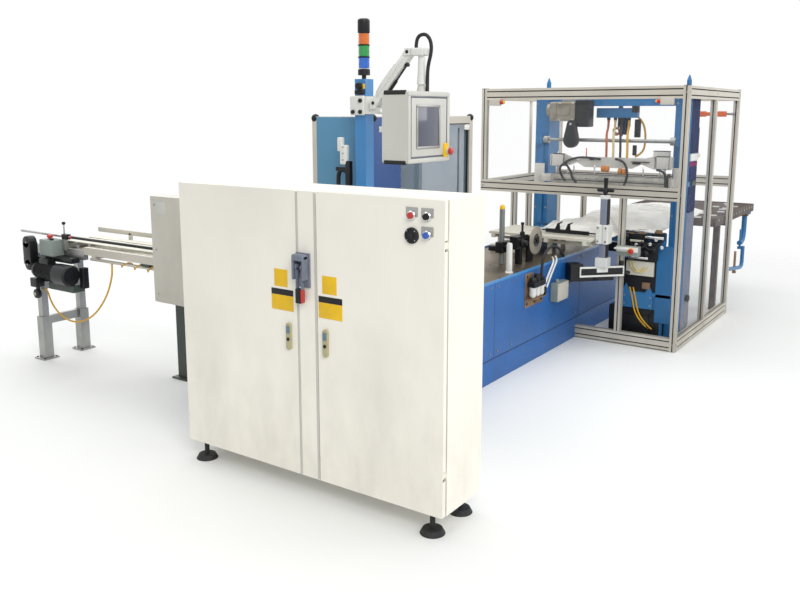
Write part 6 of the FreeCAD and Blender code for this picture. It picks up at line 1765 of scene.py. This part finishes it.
class LINE_OT_jaw(bpy.types.Operator):
    """Leads, rubber edge and machinery of the lower jaw"""
    bl_idname = "line.jaw"
    bl_label = "Lower jaw"

    def execute(self, context):
        low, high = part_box("lower_jaw")
        piece("jaw_rubber", "black rubber and painted shade", "portal_paint", (block, (0.694, -1.04, high[2] - 0.001),
            (0.756, -0.04, high[2] + 0.006), 0.002))
        self.works()
        self.lower_unit()
        for number, shift in enumerate((0, 0.026)):
            hose(f"jaw_lead_{number}", [(0.676, -0.81 + shift, 0.64), (0.664, -0.832 + shift, 0.585),
                (0.662, -0.868 + shift, 0.55), (0.662, -0.905 + shift, 0.545), (0.676, -0.95 + shift, 0.6)],
                0.006, "hose cream")
            hose(f"jaw_drop_{number}", [(0.69, -0.8 - shift, 0.42), (0.676, -0.83 - shift, 0.33),
                (0.67, -0.85 - shift, 0.24), (0.672, -0.9 - shift, 0.16), (0.684, -0.96 - shift, 0.11)],
                0.006, "lead yellow")
        spots = [(low[0] - 0.001, y, z) for y in (-0.965, -0.763) for z in (0.29, 0.355)]
        repeated("jaw_bolts", "screws", spots, FACES_INFEED, "ground steel", "portal_paint", radius=0.008,
            height=0.004)
        return {"FINISHED"}

    def works(self):
        """Cylinders, valves and blocks packed before the jaw's right end."""
        bm = bmesh.new()
        block(bm, (0.65, -1.01, 0.64), (0.684, -0.752, 0.79), 0.01, 4)
        block(bm, (0.64, -0.93, 0.8), (0.684, -0.76, 0.846), 0.008, 3)
        block(bm, (0.646, -1.06, 0.8), (0.684, -0.96, 0.862), 0.01, 3)
        block(bm, (0.69, -1.03, 0.395), (0.8, -0.74, 0.64), 0.008, 3)
        block(bm, (0.664, -0.82, 0.69), (0.684, -0.62, 0.76), 0.006, 3)
        for y, z in ((-0.985, 0.73), (-0.93, 0.7), (-0.872, 0.73), (-0.81, 0.7), (-0.77, 0.82)):
            turned(bm, [(0.02, 0), (0.024, 0.006), (0.024, 0.02), (0.018, 0.026), (0.01, 0.03), (0, 0.031)],
                (0.652, y, z), (-1, 0, 0), 24)
        keep("jaw_valves", bm, "black plastic")
        bm = bmesh.new()
        for y0, y1, x, z, radius in ((-0.99, -0.8, 0.64, 0.868, 0.011), (-1.06, -0.92, 0.632, 0.826, 0.012),
                (-0.95, -0.77, 0.634, 0.664, 0.01)):
            disc_rod(bm, (x, y0, z), (x, y1, z), radius, 0.003, 24)
        for y, z in ((-1.0, 0.812), (-0.955, 0.775), (-1.046, 0.756), (-0.85, 0.762)):
            turned(bm, [(0.014, 0), (0.014, 0.012), (0.009, 0.014), (0.009, 0.03), (0, 0.034)],
                (0.65, y, z), (-1, 0, 0), 20)
        keep("jaw_rods", bm, "chrome")
        piece("jaw_blocks", "copper brown", "copper_plate",
            (block, (0.634, -0.925, 0.846), (0.664, -0.86, 0.88), 0.006, 3),
            (block, (0.64, -0.83, 0.842), (0.664, -0.79, 0.868), 0.005, 3),
            (block, (0.646, -1.04, 0.858), (0.664, -0.99, 0.886), 0.006, 3),
            (block, (0.668, -0.96, 0.42), (0.69, -0.9, 0.47), 0.004, 3))
        piece("jaw_cream_plate", "table cream", "table_cream",
            (block, (0.668, -0.985, 0.52), (0.69, -0.77, 0.632), 0.004, 3),
            (block, (0.64, -0.905, 0.784), (0.652, -0.8, 0.8), 0.003))
        piece("jaw_side_plate", "portal blue", "portal_paint",
            (block, (0.684, -1.118, 0.165), (0.696, -1.0, 0.76), 0.003),
            (block, (0.684, -1.118, 0.36), (0.74, -0.69, 0.388), 0.003))
        for number, (y0, y1, sag) in enumerate(((-0.8, -0.96, 0.03), (-0.76, -0.9, 0.046),
                (-0.9, -1.04, 0.036))):
            middle = (y0 + y1) / 2
            hose(f"jaw_loop_{number}", [(0.656, y0, 0.78), (0.634, y0 - 0.01, 0.76),
                (0.626, middle, 0.76 - sag), (0.634, y1 + 0.01, 0.78), (0.652, y1, 0.8)], 0.007,
                "black rubber and painted shade")

    def lower_unit(self):
        """The dark drive unit on the floor below the jaw."""
        bm = bmesh.new()
        block(bm, (0.69, -1.04, 0.002), (0.86, -0.64, 0.262), 0.01, 3)
        block(bm, (0.676, -0.96, 0.06), (0.69, -0.72, 0.21), 0.006, 3)
        for y in (-0.98, -0.7):
            disc_rod(bm, (0.692, y, 0.225), (0.676, y, 0.225), 0.016, 0.003, 24)
        keep("jaw_drive_unit", bm, "black enamel")


class LINE_OT_exit(bpy.types.Operator):
    """Roller ends, roller bands and the bent pipe of the exit table"""
    bl_idname = "line.exit"
    bl_label = "Exit table"

    def execute(self, context):
        top = far("exit_table", 2)
        near_face, count, pitch = -1.165, 13, 1.45 / 14
        spots = [(1.7 + pitch * (i + 1), near_face - 0.001, top - 0.024) for i in range(count)]
        repeated("roller_ends", "screws", spots, ALONG_Y, "ground steel", "rusty_steel", radius=0.01,
            height=0.006)
        bm = bmesh.new()
        for i in range(count):
            x = 1.7 + pitch * (i + 1)
            for step in range(2):
                y = -1.02 + 0.42 * step + 0.08 * math.sin(i * 2.3)
                turned(bm, [(0.0222, 0), (0.0226, 0.002), (0.0226, 0.06), (0.0222, 0.062)],
                    (x, y, top - 0.022), (0, 1, 0), 20)
        keep("roller_bands", bm, "ground steel")
        hose("exit_pipe", [(2.89, -1.145, 0.48), (2.89, -1.145, 0.38), (2.888, -1.145, 0.3),
            (2.84, -1.145, 0.282), (2.76, -1.145, 0.288), (2.324, -1.145, 0.34)], 0.018, "portal blue")
        piece("exit_pipe_handle", "copper brown", "copper_plate",
            (disc_rod, (2.592, -1.145, 0.262), (2.592, -1.145, 0.47), 0.011, 0.003, 24),
            (turned, [(0.016, 0), (0.018, 0.004), (0.018, 0.02), (0.012, 0.026)], (2.592, -1.145, 0.262),
            (0, 0, 1), 24))
        return {"FINISHED"}


class LINE_OT_finishes(bpy.types.Operator):
    """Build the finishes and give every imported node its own"""
    bl_idname = "line.finishes"
    bl_label = "Finishes"

    def execute(self, context):
        finishes()
        for finish, names in FINISH_OF_NODE.items():
            for name in names:
                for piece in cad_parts[name] if isinstance(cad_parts[name],
                        (list, tuple)) else [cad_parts[name]]:
                    for number in range(len(piece.data.materials)):
                        piece.data.materials[number] = FINISHES[finish]
                    if not piece.data.materials:
                        piece.data.materials.append(FINISHES[finish])
        return {"FINISHED"}


class LINE_OT_stage(bpy.types.Operator):
    """Set the camera, the pale floor and the soft light"""
    bl_idname = "line.stage"
    bl_label = "Stage"

    def execute(self, context):
        lens = bpy.data.cameras.new("camera")
        lens.sensor_width = SENSOR
        lens.lens = SENSOR * FOCAL_PIXELS / PHOTO_WIDTH
        lens.shift_y = -HORIZON_SHIFT_PIXELS / PHOTO_WIDTH
        lens.clip_end = 200
        camera = bpy.data.objects.new("camera", lens)
        context.scene.collection.objects.link(camera)
        camera.location = EYE
        camera.rotation_euler = LOOK.to_track_quat("-Z", "Y").to_euler()
        context.scene.camera = camera
        context.scene.view_settings.view_transform = "Standard"
        self.floor(context)
        for name, at, watts, size in LIGHTS:
            self.light(context, name, at, watts, size)
        self.sky(context)
        return {"FINISHED"}

    def floor(self, context):
        bm = bmesh.new()
        bmesh.ops.create_grid(bm, x_segments=1, y_segments=1, size=FLOOR_SIZE)
        for vert in bm.verts:
            vert.co.z = CAD_BOX[0][2] - 0.0005
        mesh = bpy.data.meshes.new("floor")
        bm.to_mesh(mesh)
        bm.free()
        item = bpy.data.objects.new("floor", mesh)
        context.scene.collection.objects.link(item)
        material = bpy.data.materials.new("pale floor")
        material.use_nodes = True
        tree = material.node_tree
        shader = tree.nodes["Principled BSDF"]
        shader.inputs["Base Color"].default_value = (*linear("#F2F2EF"), 1)
        shader.inputs["Roughness"].default_value = 0.85
        place = add(tree, "ShaderNodeTexCoord")
        reach = add(tree, "ShaderNodeVectorMath", operation="LENGTH")
        fade = add(tree, "ShaderNodeMapRange", {"From Min": FLOOR_FADE[0], "From Max": FLOOR_FADE[1],
            "To Min": 1.0, "To Max": 0.0}, interpolation_type="SMOOTHSTEP")
        wire(tree, (place, "Object", reach, 0), (reach, "Value", fade, "Value"),
            (fade, "Result", shader, "Alpha"))
        mesh.materials.append(material)

    def light(self, context, name, at, watts, size):
        lamp = bpy.data.lights.new(name, "AREA")
        lamp.energy = watts
        lamp.size = size
        item = bpy.data.objects.new(name, lamp)
        context.scene.collection.objects.link(item)
        item.location = at
        item.rotation_euler = (LIGHT_AIM - Vector(at)).to_track_quat("-Z", "Y").to_euler()

    def sky(self, context):
        world = bpy.data.worlds.new("room")
        context.scene.world = world
        world.use_nodes = True
        tree = world.node_tree
        tree.nodes.clear()
        path = add(tree, "ShaderNodeLightPath")
        seen = add(tree, "ShaderNodeBackground", {"Color": (1, 1, 1, 1), "Strength": 1.0})
        lit = add(tree, "ShaderNodeBackground", {"Color": (0.93, 0.96, 1, 1), "Strength": 0.5})
        first = add(tree, "ShaderNodeMath", operation="MAXIMUM")
        second = add(tree, "ShaderNodeMath", operation="MAXIMUM")
        mix = add(tree, "ShaderNodeMixShader")
        out = add(tree, "ShaderNodeOutputWorld")
        wire(tree, (path, "Is Camera Ray", first, 0), (path, "Is Glossy Ray", first, 1),
            (first, 0, second, 0), (path, "Is Transmission Ray", second, 1), (second, 0, mix, 0),
            (lit, 0, mix, 1), (seen, 0, mix, 2), (mix, 0, out, 0))


class LINE_OT_cords(bpy.types.Operator):
    """Hang the infeed lead, the panel conduit and the hoses of the sealing head"""
    bl_idname = "line.cords"
    bl_label = "Leads and hoses"

    def execute(self, context):
        self.infeed_lead()
        self.panel_conduit()
        self.head_hoses()
        return {"FINISHED"}

    def infeed_lead(self):
        x = -2.186
        low = [(1.672, 0.77), (1.672, 0.715), (1.695, 0.65), (1.733, 0.575), (1.786, 0.505), (1.85, 0.44),
            (1.925, 0.385), (2.01, 0.345), (2.1, 0.322), (2.19, 0.322), (2.275, 0.345), (2.345, 0.385),
            (2.395, 0.44), (2.424, 0.515), (2.455, 0.515)]
        route = [Vector((x, y, z)) for y, z in low]
        lead = route_curve("infeed_lead", route, sizes().cable_diameter / 2)
        lead.data.materials.append(FINISHES["lead yellow"])
        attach(lead, "machine")
        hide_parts("infeed_cable")
        line_length(curve_points(route))

    def panel_conduit(self):
        x = -1.95
        route = [Vector((x, y, z)) for y, z in ((-0.552, 2.068), (-0.552, 2.101), (-0.569, 2.131),
            (-0.611, 2.135), (-0.639, 2.101), (-0.643, 2.049), (-0.623, 1.981), (-0.6195, 1.935),
            (-0.6195, 1.855))]
        line = curve_points(route, 14)
        bm = bmesh.new()
        hose_skin(bm, line, sizes().conduit_diameter / 2)
        piece = keep("panel_conduit_hose", bm, "black rubber and painted shade", None, 1.2)
        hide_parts("panel_conduit")
        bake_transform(piece)

    def head_hoses(self):
        for number, finish in enumerate(("lead yellow", "black rubber and painted shade", "hose cream", "hose orange")):
            y = -0.66 + 0.055 * number
            route = [Vector(p) for p in ((0.9, y, 1.712), (0.9, y, 1.666), (0.84, y - 0.02, 1.625),
                (0.75, y - 0.045, 1.6), (0.7117, y - 0.06, 1.54), (0.7197, y - 0.06, 1.48),
                (0.7197, y - 0.06, 1.411))]
            line = curve_points(route, 14)
            bm = bmesh.new()
            hose_skin(bm, line, sizes().hose_diameter / 2)
            piece = keep(f"head_hose_{number}", bm, finish, None, 1.2)
            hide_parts("head_hoses")
            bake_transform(piece)


OPERATORS = (LINE_OT_finishes, LINE_OT_stage, LINE_OT_cords, LINE_OT_cabinet, LINE_OT_buttons,
    LINE_OT_switch, LINE_OT_side_box, LINE_OT_signal_tower, LINE_OT_arm, LINE_OT_panel, LINE_OT_guard,
    LINE_OT_transfer, LINE_OT_bed, LINE_OT_fittings, LINE_OT_guide, LINE_OT_bed_side, LINE_OT_film,
    LINE_OT_infeed, LINE_OT_enclosure, LINE_OT_portal, LINE_OT_head, LINE_OT_jaw, LINE_OT_exit)


class LINE_PT_pieces(bpy.types.Panel):
    """Lists the pieces of the packing line"""
    bl_label = "Packing line"
    bl_idname = "LINE_PT_pieces"
    bl_space_type = "VIEW_3D"
    bl_region_type = "UI"
    bl_category = "Packing Line"

    def draw(self, context):
        for operator in OPERATORS:
            self.layout.operator(operator.bl_idname)
        for name in LineSizes.__annotations__:
            self.layout.prop(context.scene.line_sizes, name)


CLASSES = (LineColours, LineSizes, *OPERATORS, LINE_PT_pieces)


def register():
    for item in CLASSES:
        bpy.utils.register_class(item)
    bpy.types.Scene.line_colours = PointerProperty(type=LineColours)
    bpy.types.Scene.line_sizes = PointerProperty(type=LineSizes)


def unregister():
    del bpy.types.Scene.line_sizes
    del bpy.types.Scene.line_colours
    for item in reversed(CLASSES):
        bpy.utils.unregister_class(item)


def main():
    register()
    for operator in OPERATORS:
        group_name, call = operator.bl_idname.split(".")
        getattr(getattr(bpy.ops, group_name), call)()


if __name__ == "__main__":
    main()
